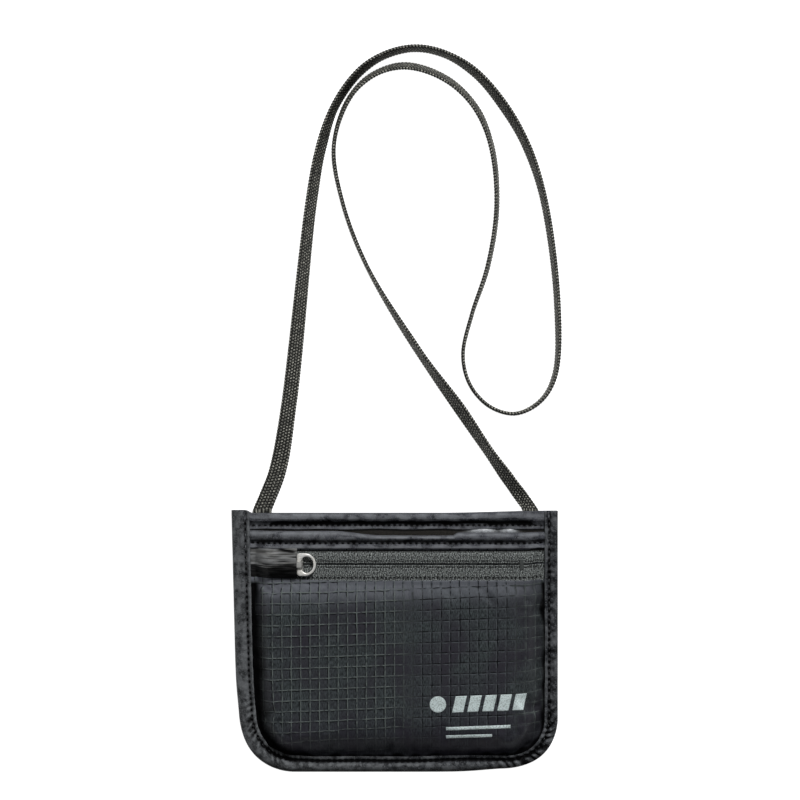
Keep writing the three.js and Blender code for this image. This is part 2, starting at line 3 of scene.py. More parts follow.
import bpy
import numpy as np
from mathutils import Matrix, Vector


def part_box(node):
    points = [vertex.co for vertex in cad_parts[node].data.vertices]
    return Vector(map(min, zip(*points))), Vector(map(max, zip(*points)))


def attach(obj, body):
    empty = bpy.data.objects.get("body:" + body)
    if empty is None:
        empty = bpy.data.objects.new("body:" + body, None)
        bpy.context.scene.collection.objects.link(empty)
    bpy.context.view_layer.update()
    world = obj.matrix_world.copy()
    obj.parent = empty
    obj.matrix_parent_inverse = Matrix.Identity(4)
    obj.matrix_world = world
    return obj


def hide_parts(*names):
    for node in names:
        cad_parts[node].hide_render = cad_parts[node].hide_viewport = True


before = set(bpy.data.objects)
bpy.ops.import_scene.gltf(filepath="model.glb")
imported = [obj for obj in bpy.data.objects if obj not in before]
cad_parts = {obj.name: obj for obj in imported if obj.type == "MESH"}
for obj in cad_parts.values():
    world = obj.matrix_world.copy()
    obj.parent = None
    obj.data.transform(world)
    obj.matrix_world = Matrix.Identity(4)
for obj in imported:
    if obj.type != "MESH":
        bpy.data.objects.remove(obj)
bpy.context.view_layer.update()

MM = 0.001


def reach(node):
    """Lowest and highest corner of a CAD node, in millimetres."""
    low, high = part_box(node)
    return np.array(low) / MM, np.array(high) / MM


# ---- Driving sizes ------------------------------------------------------------------------

POUCH_LOW, POUCH_HIGH = reach("edge_binding")
REAR_BAND_BOTTOM = reach("rear_top_binding")[0][1]
POCKET_BAND_LOW, POCKET_BAND_HIGH = reach("front_top_binding")
GARAGE_LOW, GARAGE_HIGH = reach("zip_garage")
RING_LOW, RING_HIGH = reach("zip_pull_ring")
SLIDER_TAIL = reach("zip_slider")[1][0]

TOP = POUCH_HIGH[1]
BOTTOM = POUCH_LOW[1]
HALF_WIDTH = POUCH_HIGH[0]
LEFT_TAPER = 2.3
LEFT_RADIUS = 26.0
RIGHT_RADIUS = 24.0
BINDING_LEFT = 8.0  # how far the edge binding reaches in over the panels
BINDING_RIGHT = 6.0
BINDING_BOTTOM = 6.9
SEAM_INSET = 1.0
LAYER = 0.4  # one layer of cloth and the gap to the next, in the seams
SLOPE_START = 2.0  # the cloth's slope up from the seam, inside the binding's inner edge
SLOPE_END = 9.4
SLOT_RISE = 4.9  # how far each level stands above its seam, where the pockets are open
ZIP_RISE = 7.0
FRONT_RISE = 8.65
ZIP_LINE = (RING_LOW[1] + RING_HIGH[1]) / 2
STITCH_PITCH = 2.5

LEFT_CORNER_X = -HALF_WIDTH + LEFT_TAPER + LEFT_RADIUS
LEFT_CORNER_Y = BOTTOM + LEFT_RADIUS
RIGHT_CORNER_X = HALF_WIDTH - RIGHT_RADIUS
RIGHT_CORNER_Y = BOTTOM + RIGHT_RADIUS

STRAP_WIDTH = 7.5
STRAP_THICKNESS = 1.5
STRAP_EXIT_HEIGHT = 2.1
STRAP_EASING = 0.8  # how gently it rises from its exit to where it rests on the table
STRAP_TABLE_GAP = 0.05

# The strap's route over the table: X, Y and the braid's tilt in degrees, where 0 lies flat and
# 90 stands on edge. It repeats the CAD's route.
STRAP_ROUTE = [
    (-60.2, 54.9, 0), (-56.4, 63.6, 0), (-51.8, 76, 12), (-46.6, 106.7, 32), (-36.8, 195.3, 55),
    (-32.4, 219.5, 60), (-26.1, 237.6, 72), (-15.3, 252.4, 73), (-4, 259.8, 78), (9.3, 262.7, 80),
    (22.5, 260, 79), (35.8, 251.8, 71), (48.5, 236.9, 66), (58.5, 219.3, 71), (66.2, 195.3, 77),
    (72.1, 149, 80), (71, 118, 84), (64.6, 106.5, 87), (53.6, 100.9, 89), (42.5, 103.8, 90),
    (33.6, 113.3, 89), (30.3, 126.5, 88), (34.1, 144.3, 86), (41.4, 166.4, 82), (45.3, 193, 80),
    (42.9, 219.5, 76), (35.6, 236.9, 70), (22.6, 249.2, 66), (4.8, 254.9, 64), (-9.6, 250.9, 71),
    (-20.2, 240.4, 78), (-26.9, 219.5, 85), (-23.3, 195.3, 87), (-12.4, 166.4, 87), (10.4, 128.8, 72),
    (29.4, 102.2, 52), (41.4, 84.5, 60), (50.9, 71.2, 46), (59.3, 59.7, 0), (62, 55.5, 0),
]


# ---- Camera, light and floor --------------------------------------------------------------

def make_camera():
    """Straight above the object, with +Y up in the picture."""
    camera = bpy.data.objects.new("camera", bpy.data.cameras.new("camera"))
    camera.data.lens = 100
    camera.data.sensor_width = 36
    camera.location = (0.0024, 0.1069, 0.988)
    bpy.context.scene.collection.objects.link(camera)
    bpy.context.scene.camera = camera


def make_sun(name, direction, strength, softness):
    """Light that comes from one direction; softness is its apparent size in degrees."""
    lamp = bpy.data.lights.new(name, "SUN")
    lamp.energy = strength
    lamp.angle = math.radians(softness)
    sun = bpy.data.objects.new(name, lamp)
    sun.rotation_mode = "QUATERNION"
    sun.rotation_quaternion = Vector(direction).to_track_quat("Z", "Y")
    bpy.context.scene.collection.objects.link(sun)


def make_world(strength):
    world = bpy.data.worlds.new("studio")
    world.use_nodes = True
    background = world.node_tree.nodes["Background"]
    background.inputs["Color"].default_value = (0.96, 0.98, 1, 1)
    background.inputs["Strength"].default_value = strength
    bpy.context.scene.world = world


def make_floor():
    """A plain white table, lit a little from within so that it stays white under the object."""
    half = 3.0
    mesh = bpy.data.meshes.new("floor")
    corners = [(-half, -half, 0), (half, -half, 0), (half, half, 0), (-half, half, 0)]
    mesh.from_pydata(corners, [], [(0, 1, 2, 3)])
    floor = bpy.data.objects.new("floor", mesh)
    bpy.context.scene.collection.objects.link(floor)
    paint = bpy.data.materials.new("white_table")
    paint.use_nodes = True
    surface = paint.node_tree.nodes["Principled BSDF"]
    surface.inputs["Base Color"].default_value = (0.5, 0.5, 0.5, 1)
    surface.inputs["Roughness"].default_value = 0.9
    surface.inputs["Emission Color"].default_value = (1, 1, 1, 1)
    surface.inputs["Emission Strength"].default_value = 1.0
    mesh.materials.append(paint)


bpy.context.scene.view_settings.view_transform = "Standard"
make_camera()
make_sun("key", (0.28, 0.85, 0.80), 2.2, 12)
make_sun("fill", (-0.5, 0.2, 1.0), 0.16, 60)
make_world(0.07)
make_floor()


# ---- Number helpers -----------------------------------------------------------------------

def smoothstep(value, low, high):
    share = np.clip((value - low) / (high - low), 0, 1)
    return share * share * (3 - 2 * share)


def lerp(a, b, share):
    return a + (b - a) * share


def bump(value, middle, width):
    """1 at the middle, falling off smoothly to about 0 at twice the width."""
    return np.exp(-(((value - middle) / width) ** 2))


def wobble(x, y, size, seed):
    """Smooth uneven noise from about -1 to 1, with features of about that size."""
    random = np.random.default_rng(seed)
    total = np.zeros(np.broadcast(x, y).shape)
    for _ in range(7):
        angle = random.uniform(0, math.tau)
        wave = size * random.uniform(0.7, 1.6)
        phase = random.uniform(0, math.tau)
        total += np.sin((x * math.cos(angle) + y * math.sin(angle)) * math.tau / wave + phase)
    return total / 3.2


def unit(vectors):
    return vectors / np.maximum(np.linalg.norm(vectors, axis=-1, keepdims=True), 1e-9)


def grid_normals(points):
    """Unit normals of a grid of points, to the right of its rows' direction."""
    along_rows = np.gradient(points, axis=0)
    along_columns = np.gradient(points, axis=1)
    return unit(np.cross(along_columns, along_rows))


def refine(points):
    """Twice as fine a grid through the same points, on smooth curves."""
    for axis in (0, 1):
        line = np.moveaxis(points, axis, 0)
        padded = np.concatenate([2 * line[:1] - line[1:2], line, 2 * line[-1:] - line[-2:-1]])
        between = (9 * (padded[1:-2] + padded[2:-1]) - padded[:-3] - padded[3:]) / 16
        finer = np.empty((2 * len(line) - 1,) + line.shape[1:])
        finer[0::2] = line
        finer[1::2] = between
        points = np.moveaxis(finer, 0, axis)
    return points


# ---- Mesh helpers -------------------------------------------------------------------------

def slack_edges(points):
    """The pouch's top edge sags a little, its bottom edge rises towards the right corner, and its
    left side bends in above the corner."""
    x, y = points[:, 0], points[:, 1]
    sag = 1.3 * smoothstep(x, -66.5, -62.8) * (1 - 0.75 * smoothstep(x, 20, 70))
    sag = sag * smoothstep(y, 51.5, 56.5) * (1 - smoothstep(y, TOP + 0.2, TOP + 0.4))
    rise = 1.5 * bump(x, 51, 15) * (1 - smoothstep(y, -57, -44))
    bend = 1.2 * bump(y, -37, 14) * smoothstep(-x, 48, 70)
    return points + np.column_stack([bend, rise - sag, 0 * x])


def add_mesh(name, points, faces, material, attributes=None):
    """A smooth-shaded mesh. Attributes are one number, or three, for each point."""
    mesh = bpy.data.meshes.new(name)
    places = slack_edges(np.asarray(points).reshape(-1, 3))
    mesh.from_pydata((places * MM).tolist(), [], faces)
    for key, values in (attributes or {}).items():
        values = np.asarray(values, dtype=np.float32)
        kind, field = ("FLOAT_VECTOR", "vector") if values.shape[-1] == 3 else ("FLOAT", "value")
        mesh.attributes.new(key, kind, "POINT").data.foreach_set(field, values.ravel())
    mesh.shade_smooth()
    mesh.materials.append(material)
    piece = bpy.data.objects.new(name, mesh)
    bpy.context.scene.collection.objects.link(piece)
    return piece


def grid_faces(rows, columns, start=0, wrap=False, flip=False):
    """Quads over a grid of points; wrap joins its last column to its first."""
    index = start + np.arange(rows * columns).reshape(rows, columns)
    if wrap:
        index = np.concatenate([index, index[:, :1]], axis=1)
    corners = [index[:-1, :-1], index[:-1, 1:], index[1:, 1:], index[1:, :-1]]
    if flip:
        corners.reverse()
    return np.stack(corners, axis=-1).reshape(-1, 4).tolist()


def add_sheet(name, middle, thickness, material, cloth, relief_shade=None):
    """A closed thin sheet over a grid of points. cloth holds each point's place on the flat cut,
    and relief_shade is 0 in its grooves and hollows and 1 elsewhere: the materials paint shade
    where it is low, and some paint highlights where it is high."""
    rows, columns = middle.shape[:2]
    normals = grid_normals(middle)
    half = normals * thickness / 2
    count = rows * columns
    faces = grid_faces(rows, columns) + grid_faces(rows, columns, count, flip=True)
    index = np.arange(count).reshape(rows, columns)
    rim = np.concatenate([index[0, :-1], index[:-1, -1], index[-1, :0:-1], index[:0:-1, 0]])
    after = np.roll(rim, -1)
    faces += np.stack([rim, rim + count, after + count, after], axis=-1).tolist()
    if relief_shade is None:
        relief_shade = np.ones(count)
    attributes = {
        "cloth": np.concatenate([cloth.reshape(-1, 3)] * 2),
        "relief_shade": np.concatenate([relief_shade.reshape(-1, 1)] * 2)[:, 0],
    }
    points = np.concatenate([(middle + half).reshape(-1, 3), (middle - half).reshape(-1, 3)])
    return add_mesh(name, points, faces, material, attributes)


def add_tubes(name, tubes, material, cloths=None, reliefs=None):
    """Closed tubes in one mesh. Each tube is a grid: one row of points for each ring."""
    points, faces, start = [], [], 0
    for rings in tubes:
        rows, columns = rings.shape[:2]
        points.append(rings.reshape(-1, 3))
        faces += grid_faces(rows, columns, start, wrap=True)
        first = list(range(start, start + columns))
        faces.append(first[::-1])
        faces.append([i + (rows - 1) * columns for i in first])
        start += rows * columns
    attributes = {}
    if cloths is not None:
        attributes["cloth"] = np.concatenate([cloth.reshape(-1, 3) for cloth in cloths])
    if reliefs is not None:
        attributes["relief_shade"] = np.concatenate([relief_shade.ravel() for relief_shade in reliefs])
    return add_mesh(name, np.concatenate(points), faces, material, attributes)


def round_tube(line, radius, sides=8, flatten=1.0, up=(0, 0, 1)):
    """Rings of a round wire or thread along a line; radius may change along it."""
    line = np.asarray(line, dtype=float)
    along = unit(np.gradient(line, axis=0))
    side = unit(np.cross(np.broadcast_to(up, along.shape), along))
    lift = np.cross(along, side)
    turn = np.arange(sides) * math.tau / sides
    radius = np.broadcast_to(radius, len(line))[:, None, None]
    ring = side[:, None] * np.cos(turn)[:, None] + lift[:, None] * np.sin(turn)[:, None] * flatten
    return line[:, None] + radius * ring


# ---- Materials ----------------------------------------------------------------------------

def linear(red, green, blue):
    """A screen colour from 0 to 255 as the linear colour a shader takes."""
    shares = [channel / 255 for channel in (red, green, blue)]
    return tuple(s / 12.92 if s <= 0.04045 else ((s + 0.055) / 1.055) ** 2.4 for s in shares) + (1,)


class Shader:
    """A material's node graph, built from short calls."""

    def __init__(self, name, roughness, metallic=0.0, specular=0.5):
        self.material = bpy.data.materials.new(name)
        self.material.use_nodes = True
        self.tree = self.material.node_tree
        self.surface = self.tree.nodes["Principled BSDF"]
        self.surface.inputs["Roughness"].default_value = roughness
        self.surface.inputs["Metallic"].default_value = metallic
        self.surface.inputs["Specular IOR Level"].default_value = specular

    def feed(self, socket, value):
        if isinstance(value, bpy.types.NodeSocket):
            self.tree.links.new(value, socket)
        elif value is not None:
            socket.default_value = value

    def add(self, kind, inputs, output=0, **settings):
        node = self.tree.nodes.new("ShaderNode" + kind)
        for key, value in settings.items():
            setattr(node, key, value)
        for key, value in inputs.items():
            self.feed(node.inputs[key], value)
        return node.outputs[output]

    def place(self):
        """Where the point lies on the flat cloth, in millimetres."""
        return self.add("Attribute", {}, output="Vector", attribute_name="cloth")

    # relief_shade holds painted shade and highlight that follow the cloth's relief: materials darken where
    # it is low, and some lighten where it is high.
    def relief_shade(self):
        return self.add("Attribute", {}, output="Fac", attribute_name="relief_shade")

    def split(self, vector):
        node = self.tree.nodes.new("ShaderNodeSeparateXYZ")
        self.feed(node.inputs[0], vector)
        return node.outputs["X"], node.outputs["Y"]

    def math(self, operation, a, b=None, c=None):
        return self.add("Math", {0: a, 1: b, 2: c}, operation=operation)

    def scaled(self, vector, x, y, z=1.0):
        return self.add("VectorMath", {0: vector, 1: (x, y, z)}, operation="MULTIPLY")

    def noise(self, vector, scale, detail=2.0):
        inputs = {"Vector": vector, "Scale": scale, "Detail": detail}
        return self.add("TexNoise", inputs, output="Fac")

    def remap(self, value, low, high, to_low=0.0, to_high=1.0):
        inputs = {"Value": value, "From Min": low, "From Max": high, "To Min": to_low, "To Max": to_high}
        return self.add("MapRange", inputs, interpolation_type="SMOOTHSTEP")

    def mix(self, share, a, b, blend="MIX"):
        node = self.tree.nodes.new("ShaderNodeMix")
        node.data_type = "RGBA"
        node.blend_type = blend
        self.feed(node.inputs["Factor"], share)
        self.feed(node.inputs[6], a)
        self.feed(node.inputs[7], b)
        return node.outputs[2]

    def threads(self, coordinate, pitch, half_width):
        """1 on evenly spaced threads and 0 between them."""
        away = self.math("PINGPONG", coordinate, pitch / 2)
        return self.remap(away, half_width * 0.4, half_width, 1.0, 0.0)

    def finish(self, colour, height=None, depth=0.0, roughness=None):
        """Sets the colour, the bump with its depth in millimetres, and the roughness."""
        self.feed(self.surface.inputs["Base Color"], colour)
        self.feed(self.surface.inputs["Roughness"], roughness)
        if height is not None:
            inputs = {"Strength": 1.0, "Distance": depth * MM, "Height": height}
            self.feed(self.surface.inputs["Normal"], self.add("Bump", inputs))
        return self.material


RIPSTOP_COLUMNS = 4.1  # millimetres between the cloth's thicker threads
RIPSTOP_ROWS = 4.7
RIPSTOP_THREAD = 0.30


def ripstop_cloth():
    """Nylon with a grid of thicker threads, with a painted sheen that leaves them pale towards the two
    sides and dark between, each with a line of the other shade beside it as painted highlight and shade.
    The cloth is painted darker towards the bottom and the right edge, lighter towards the top, and near
    black in painted shade beside the seams."""
    shader = Shader("ripstop_nylon", roughness=0.5, specular=0.07)
    place = shader.place()
    u, v = shader.split(place)
    fray = shader.noise(shader.scaled(place, 0.25, 0.25), 1.0)
    wander = shader.math("MULTIPLY_ADD", fray, 0.5, -0.25)
    uneven = shader.remap(shader.noise(shader.scaled(place, 0.5, 0.5), 1.0, 3.0), 0.34, 0.62, 0.15, 1.0)
    # The grid lines are painted fainter towards the bottom, part of the painted shade there.
    uneven = shader.math("MULTIPLY", uneven, shader.remap(v, -47.0, -33.0, 0.15, 1.0))

    def lines(shift):
        offset = shader.math("ADD", wander, shift)
        columns = shader.threads(shader.math("ADD", u, offset), RIPSTOP_COLUMNS, RIPSTOP_THREAD)
        rows = shader.threads(shader.math("ADD", v, offset), RIPSTOP_ROWS, RIPSTOP_THREAD)
        return shader.math("MULTIPLY", shader.math("MAXIMUM", columns, rows), uneven)

    grid, beside = lines(0.0), lines(0.55)
    weave = shader.noise(shader.scaled(place, 2.6, 0.6), 1.0, 3.0)
    grain = shader.noise(shader.scaled(place, 1.3, 1.3), 1.0, 2.0)
    patches = shader.noise(shader.scaled(place, 0.06, 0.05), 1.0)
    ground = shader.mix(shader.remap(weave, 0.3, 0.7), linear(40, 45, 46), linear(82, 89, 91))
    ground = shader.mix(shader.remap(patches, 0.35, 0.7), ground, linear(57, 56, 63))
    ground = shader.mix(shader.remap(grain, 0.55, 0.75, 0.0, 0.6), ground, linear(28, 29, 31))
    # Painted shade: darker towards the bottom. Painted light: lighter towards the top. Painted shade:
    # darker at the right edge.
    ground = shader.mix(shader.remap(v, -46.0, -22.0, 0.55, 0.0), ground, linear(46, 43, 53))
    ground = shader.mix(shader.remap(v, 12.0, 31.0, 0.0, 0.75), ground, linear(120, 123, 131))
    ground = shader.mix(shader.remap(u, 52.0, 62.0, 0.0, 0.4), ground, linear(20, 20, 22))
    # Painted sheen on the grid threads: pale over the left half and at the right edge, dark between; the
    # line beside each thread takes the other shade, as painted highlight and shade.
    left_shine = shader.remap(u, -4.0, 14.0, 1.0, 0.0)
    right_shine = shader.remap(u, 46.0, 60.0, 0.0, 0.55)
    shine = shader.math("MAXIMUM", left_shine, right_shine)
    colour = shader.mix(beside, ground, shader.mix(shine, linear(84, 88, 92), linear(20, 22, 24)))
    colour = shader.mix(grid, colour, shader.mix(shine, linear(12, 13, 15), linear(112, 120, 118)))
    # Painted shade: near black where relief_shade is low, beside the front panel's seams.
    colour = shader.mix(shader.relief_shade(), linear(2, 2, 3), colour)
    height = shader.math("MULTIPLY_ADD", grid, 0.8, shader.math("MULTIPLY", weave, 0.6))
    rough = shader.remap(weave, 0.2, 0.8, 0.42, 0.62)
    return shader.finish(colour, height, 0.22, rough)


def binding_cloth(name, light, dark, low_edge, high_edge):
    """Soft grosgrain tape with random paler patches, painted paler as highlight on its raised places,
    painted dark as shade in its stitched groove, and painted from light at one end of X to dark at the
    other, as light falls off.
    """
    shader = Shader(name, roughness=0.62, specular=0.1)
    place = shader.place()
    ribs = shader.math("PINGPONG", shader.split(place)[0], 0.3)
    mottle = shader.noise(shader.scaled(place, 0.55, 0.55), 1.0, 4.0)
    fibres = shader.noise(shader.scaled(place, 3.0, 1.2), 1.0, 2.0)
    # Painted light: lighter at one end of X and darker at the other, as light falls off across the pouch.
    side = shader.split(shader.add("NewGeometry", {}, output="Position"))[0]
    across = shader.remap(side, low_edge * MM, high_edge * MM)
    body = shader.mix(across, light, dark)
    patches = shader.noise(shader.scaled(place, 0.16, 0.30), 1.0, 3.0)
    shaded = shader.mix(0.62, body, linear(10, 10, 12))
    pale = shader.mix(0.32, body, linear(190, 194, 198))
    worn = shader.mix(shader.remap(mottle, 0.38, 0.62), shaded, body)
    worn = shader.mix(shader.remap(patches, 0.42, 0.62, 0.0, 0.55), worn, pale)
    worn = shader.mix(shader.remap(fibres, 0.52, 0.72, 0.0, 0.8), worn, pale)
    # Painted highlight: paler on the raised places, where relief_shade is high.
    worn = shader.mix(shader.remap(shader.relief_shade(), 0.78, 1.0, 0.0, 0.55), worn, pale)
    # Painted shade: near black in the stitched groove and the other low places.
    colour = shader.mix(shader.remap(shader.relief_shade(), 0.0, 0.75), linear(3, 3, 4), worn)
    height = shader.math("ADD", shader.math("MULTIPLY", ribs, 0.8), shader.math("MULTIPLY", fibres, 1.0))
    return shader.finish(colour, height, 0.22, shader.remap(mottle, 0.2, 0.8, 0.5, 0.75))


def tape_cloth():
    """Knitted zip tape: slanting loops, with painted highlight where they stand up and painted shade in the
    holes and under the pocket binding.
    """
    shader = Shader("zip_tape_knit", roughness=0.7, specular=0.3)
    place = shader.place()
    speckle = shader.noise(shader.scaled(place, 1.5, 1.7), 1.0, 4.0)
    sparkle = shader.math("MULTIPLY_ADD", speckle, 1.6, -0.42)
    # Painted highlight: paler on the loops that stand up.
    loops = shader.math("MULTIPLY", shader.math("ADD", shader.relief_shade(), 0.35), sparkle)
    colour = shader.mix(shader.remap(loops, 0.05, 0.75), linear(18, 20, 20), linear(168, 174, 172))
    # Painted shade: near black where relief_shade is lowest, in the holes and under the pocket binding.
    colour = shader.mix(shader.remap(shader.relief_shade(), 0.0, 0.14), linear(4, 5, 5), colour)
    return shader.finish(colour, speckle, 0.3)


def braid_yarn():
    """Strap braid: yarn crests with painted highlights and near-white painted glints, over gaps painted
    near black as shade.
    """
    shader = Shader("strap_braid", roughness=0.6, specular=0.25)
    place = shader.place()
    fibres = shader.noise(shader.scaled(place, 1.2, 5.0), 1.0, 2.0)
    uneven = shader.noise(shader.scaled(place, 0.35, 0.6), 1.0, 2.0)
    crest = shader.math("MULTIPLY", shader.relief_shade(), shader.remap(uneven, 0.25, 0.7, 0.7, 1.2))
    crest_glint = shader.math("MULTIPLY", crest, shader.remap(fibres, 0.3, 0.65, 0.55, 1.15))
    # Painted shade: near black in the gaps between yarns. Painted highlight: paler on the crests, with
    # near-white painted glints on their tops.
    yarn = shader.mix(shader.remap(crest, 0.05, 0.5), linear(18, 18, 17), linear(110, 110, 104))
    colour = shader.mix(shader.remap(crest_glint, 0.55, 1.0), yarn, linear(236, 234, 220))
    return shader.finish(colour, fibres, 0.25)


def thread_fibre():
    shader = Shader("sewing_thread", roughness=0.55, specular=0.4)
    place = shader.place()
    twist = shader.noise(shader.scaled(place, 2.5, 6.0), 1.0, 2.0)
    colour = shader.mix(shader.remap(twist, 0.3, 0.7), linear(34, 35, 37), linear(74, 75, 78))
    return shader.finish(colour, twist, 0.05)


def lining_cloth():
    """Taffeta in shadow inside the slot, and pale where it bulges up into the light."""
    shader = Shader("lining_taffeta", roughness=0.38, specular=0.5)
    place = shader.place()
    weave = shader.noise(shader.scaled(place, 1.0, 4.0), 1.0, 3.0)
    bright = shader.mix(shader.remap(weave, 0.3, 0.7), linear(150, 154, 158), linear(200, 204, 208))
    dim = shader.mix(shader.remap(weave, 0.3, 0.7), linear(22, 20, 18), linear(52, 49, 44))
    colour = shader.mix(shader.relief_shade(), dim, bright)
    return shader.finish(colour, weave, 0.06)


def moulded_nylon(name, dark, light):
    shader = Shader(name, roughness=0.35, specular=0.3)
    tone = shader.noise(shader.add("NewGeometry", {}, output="Position"), 900.0, 2.0)
    colour = shader.mix(tone, dark, light)
    return shader.finish(colour, tone, 0.02)


def polished_metal(name, light, dark, roughness, metallic):
    """Plated metal, a little duller and darker in small scratches."""
    shader = Shader(name, roughness=roughness, metallic=metallic)
    position = shader.add("NewGeometry", {}, output="Position")
    scratches = shader.noise(shader.scaled(position, 500.0, 2600.0, 900.0), 1.0, 3.0)
    cloud = shader.noise(shader.scaled(position, 260.0, 260.0, 260.0), 1.0, 2.0)
    colour = shader.mix(shader.remap(cloud, 0.3, 0.7), light, dark)
    rough = shader.remap(scratches, 0.3, 0.8, roughness * 0.7, roughness * 1.6)
    return shader.finish(colour, scratches, 0.01, rough)


def print_ink():
    """Pale screen print, thin enough for the cloth's weave to show in it."""
    shader = Shader("print_ink", roughness=0.6, specular=0.3)
    place = shader.place()
    worn = shader.noise(shader.scaled(place, 1.6, 1.6), 1.0, 3.0)
    colour = shader.mix(shader.remap(worn, 0.3, 0.6), linear(176, 190, 188), linear(226, 240, 240))
    return shader.finish(colour, worn, 0.05)


RIPSTOP = ripstop_cloth()
# Painted light: the edge binding is painted lighter at the left and darker at the right, and the top
# bindings a little so, as light falls off across the pouch.
EDGE_CLOTH = binding_cloth("edge_binding_tape", linear(80, 82, 84), linear(54, 56, 60), -70.0, 40.0)
BAND_CLOTH = binding_cloth("top_binding_tape", linear(90, 92, 98), linear(82, 84, 91), -60.0, 60.0)
GARAGE_CLOTH = binding_cloth("garage_grosgrain", linear(124, 124, 122), linear(124, 124, 122), -60.0, 60.0)
TAPE_CLOTH = tape_cloth()
BRAID = braid_yarn()
THREAD = thread_fibre()
LINING = lining_cloth()
COIL = moulded_nylon("zip_coil_nylon", linear(26, 27, 28), linear(52, 54, 55))
STOP_NYLON = moulded_nylon("zip_stop_nylon", linear(62, 65, 64), linear(92, 96, 95))
RING_METAL = polished_metal("ring_nickel", linear(255, 255, 254), linear(250, 248, 240), 0.35, 0.3)
SLIDER_METAL = polished_metal("slider_nickel", linear(214, 214, 210), linear(180, 180, 176), 0.36, 0.4)
INK = print_ink()


# ---- Neck strap ---------------------------------------------------------------------------

STRAP_STEP = 0.3
STRAP_SIDES = 48
YARN_LENGTH = 1.4
YARN_COLUMNS = 12
YARN_HEIGHT = 0.3


def strap_route():
    """The strap's middle line and tilt, in steps of equal length: the CAD's own smooth curve."""
    route = np.array(STRAP_ROUTE, dtype=float)
    plan = route[:, :2]
    ends = np.vstack([2 * plan[0] - plan[1], plan, 2 * plan[-1] - plan[-2]])
    gaps = np.linalg.norm(np.diff(ends, axis=0), axis=1) ** 0.5
    share = np.linspace(0, 1, 240, endpoint=False)[:, None]
    line, tilts = [], []
    for i in range(len(plan) - 1):
        before, start, end, after = ends[i:i + 4]
        gap_before, gap, gap_after = gaps[i:i + 3]
        leave = (start - before) / gap_before - (end - before) / (gap_before + gap) + (end - start) / gap
        arrive = (end - start) / gap - (after - start) / (gap + gap_after) + (after - end) / gap_after
        cubic = 2 * start - 2 * end + (leave + arrive) * gap
        square = 3 * end - 3 * start - (2 * leave + arrive) * gap
        line.append(start + leave * gap * share + square * share**2 + cubic * share**3)
        tilts.append(lerp(route[i, 2], route[i + 1, 2], smoothstep(share[:, 0], 0, 1)))
    line = np.vstack([*line, plan[-1:]])
    tilt = np.radians(np.concatenate([*tilts, route[-1:, 2]]))
    resting = (STRAP_WIDTH * np.sin(tilt) + STRAP_THICKNESS * np.cos(tilt)) / 2 + STRAP_TABLE_GAP
    held = 1 - smoothstep(np.maximum(line[:, 1] - TOP, 0), 8, 24)
    rise = resting - STRAP_EXIT_HEIGHT
    eased = STRAP_EXIT_HEIGHT + (rise + np.hypot(rise, STRAP_EASING)) / 2
    height = lerp(resting, eased, held)
    line = np.column_stack([line, height])
    run = np.concatenate([[0], np.cumsum(np.linalg.norm(np.diff(line, axis=0), axis=1))])
    even = np.linspace(0, run[-1], round(run[-1] / STRAP_STEP) + 1)
    middle = np.column_stack([np.interp(even, run, line[:, axis]) for axis in range(3)])
    return middle, np.interp(even, run, tilt), even


def braid_section():
    """A flat section with round edges: across, over, and the run round it, for each point."""
    straight = STRAP_WIDTH - STRAP_THICKNESS + 0.3
    radius = STRAP_THICKNESS / 2 - YARN_HEIGHT / 2
    around = 2 * straight + math.tau * radius
    run = np.arange(STRAP_SIDES) * around / STRAP_SIDES
    across, over = [], []
    for place in run:
        half_turn = math.pi * radius
        side = 1 if place < straight + half_turn else -1
        local = place if side == 1 else place - straight - half_turn
        if local < straight:
            across.append(side * (straight / 2 - local))
            over.append(side * radius)
        else:
            turn = (local - straight) / radius
            across.append(-side * (straight / 2 + radius * math.sin(turn)))
            over.append(side * radius * math.cos(turn))
    return np.array(across), np.array(over), run / around


def braid_relief(along, around):
    """0 in the gaps and 1 on the crests of the yarns, which lean left and right in turn."""
    column = around * YARN_COLUMNS
    number = np.floor(column).astype(int) % 2
    share = column % 1
    lean = np.where(number == 0, 0.30, -0.30) * (share - 0.5)
    phase = along / YARN_LENGTH + 0.5 * number + lean + 0.12 * wobble(along, 40 * around, 7, 2)
    return np.sin(math.pi * share) ** 0.8 * (0.5 + 0.5 * np.cos(math.tau * phase))


def make_strap():
    """The braid along its route, drawn together a little where its right end enters the binding."""
    middle, tilt, along = strap_route()
    ahead = unit(np.gradient(middle, axis=0))
    level = unit(np.column_stack([-ahead[:, 1], ahead[:, 0], np.zeros(len(ahead))]))
    upward = np.cross(ahead, level)
    upward *= np.sign(upward[:, 2:])
    width_way = level * np.cos(tilt)[:, None] + upward * np.sin(tilt)[:, None]
    over_way = np.cross(ahead, width_way)
    across, over, around = braid_section()
    relief_shade = braid_relief(along[:, None], around[None, :])
    bunched = 1 - 0.24 * smoothstep(along, along[-1] - 22, along[-1] - 6)
    across = bunched[:, None] * across[None]
    rings = width_way[:, None] * across[..., None] + over_way[:, None] * over[:, None]
    beyond = across - np.clip(across, -3 * bunched[:, None], 3 * bunched[:, None])
    out = unit(width_way[:, None] * beyond[..., None] + over_way[:, None] * over[:, None])
    rings = middle[:, None] + rings + out * (YARN_HEIGHT * relief_shade)[..., None]
    cloth = np.stack(np.broadcast_arrays(along[:, None], around[None, :] * 16, 0.0), axis=-1)
    strap = add_tubes("neck_strap_braid", [rings], BRAID, [cloth], [relief_shade])
    finish_piece(strap, "pouch", "strap", "neck_strap")


# ---- Outline of the pouch -----------------------------------------------------------------

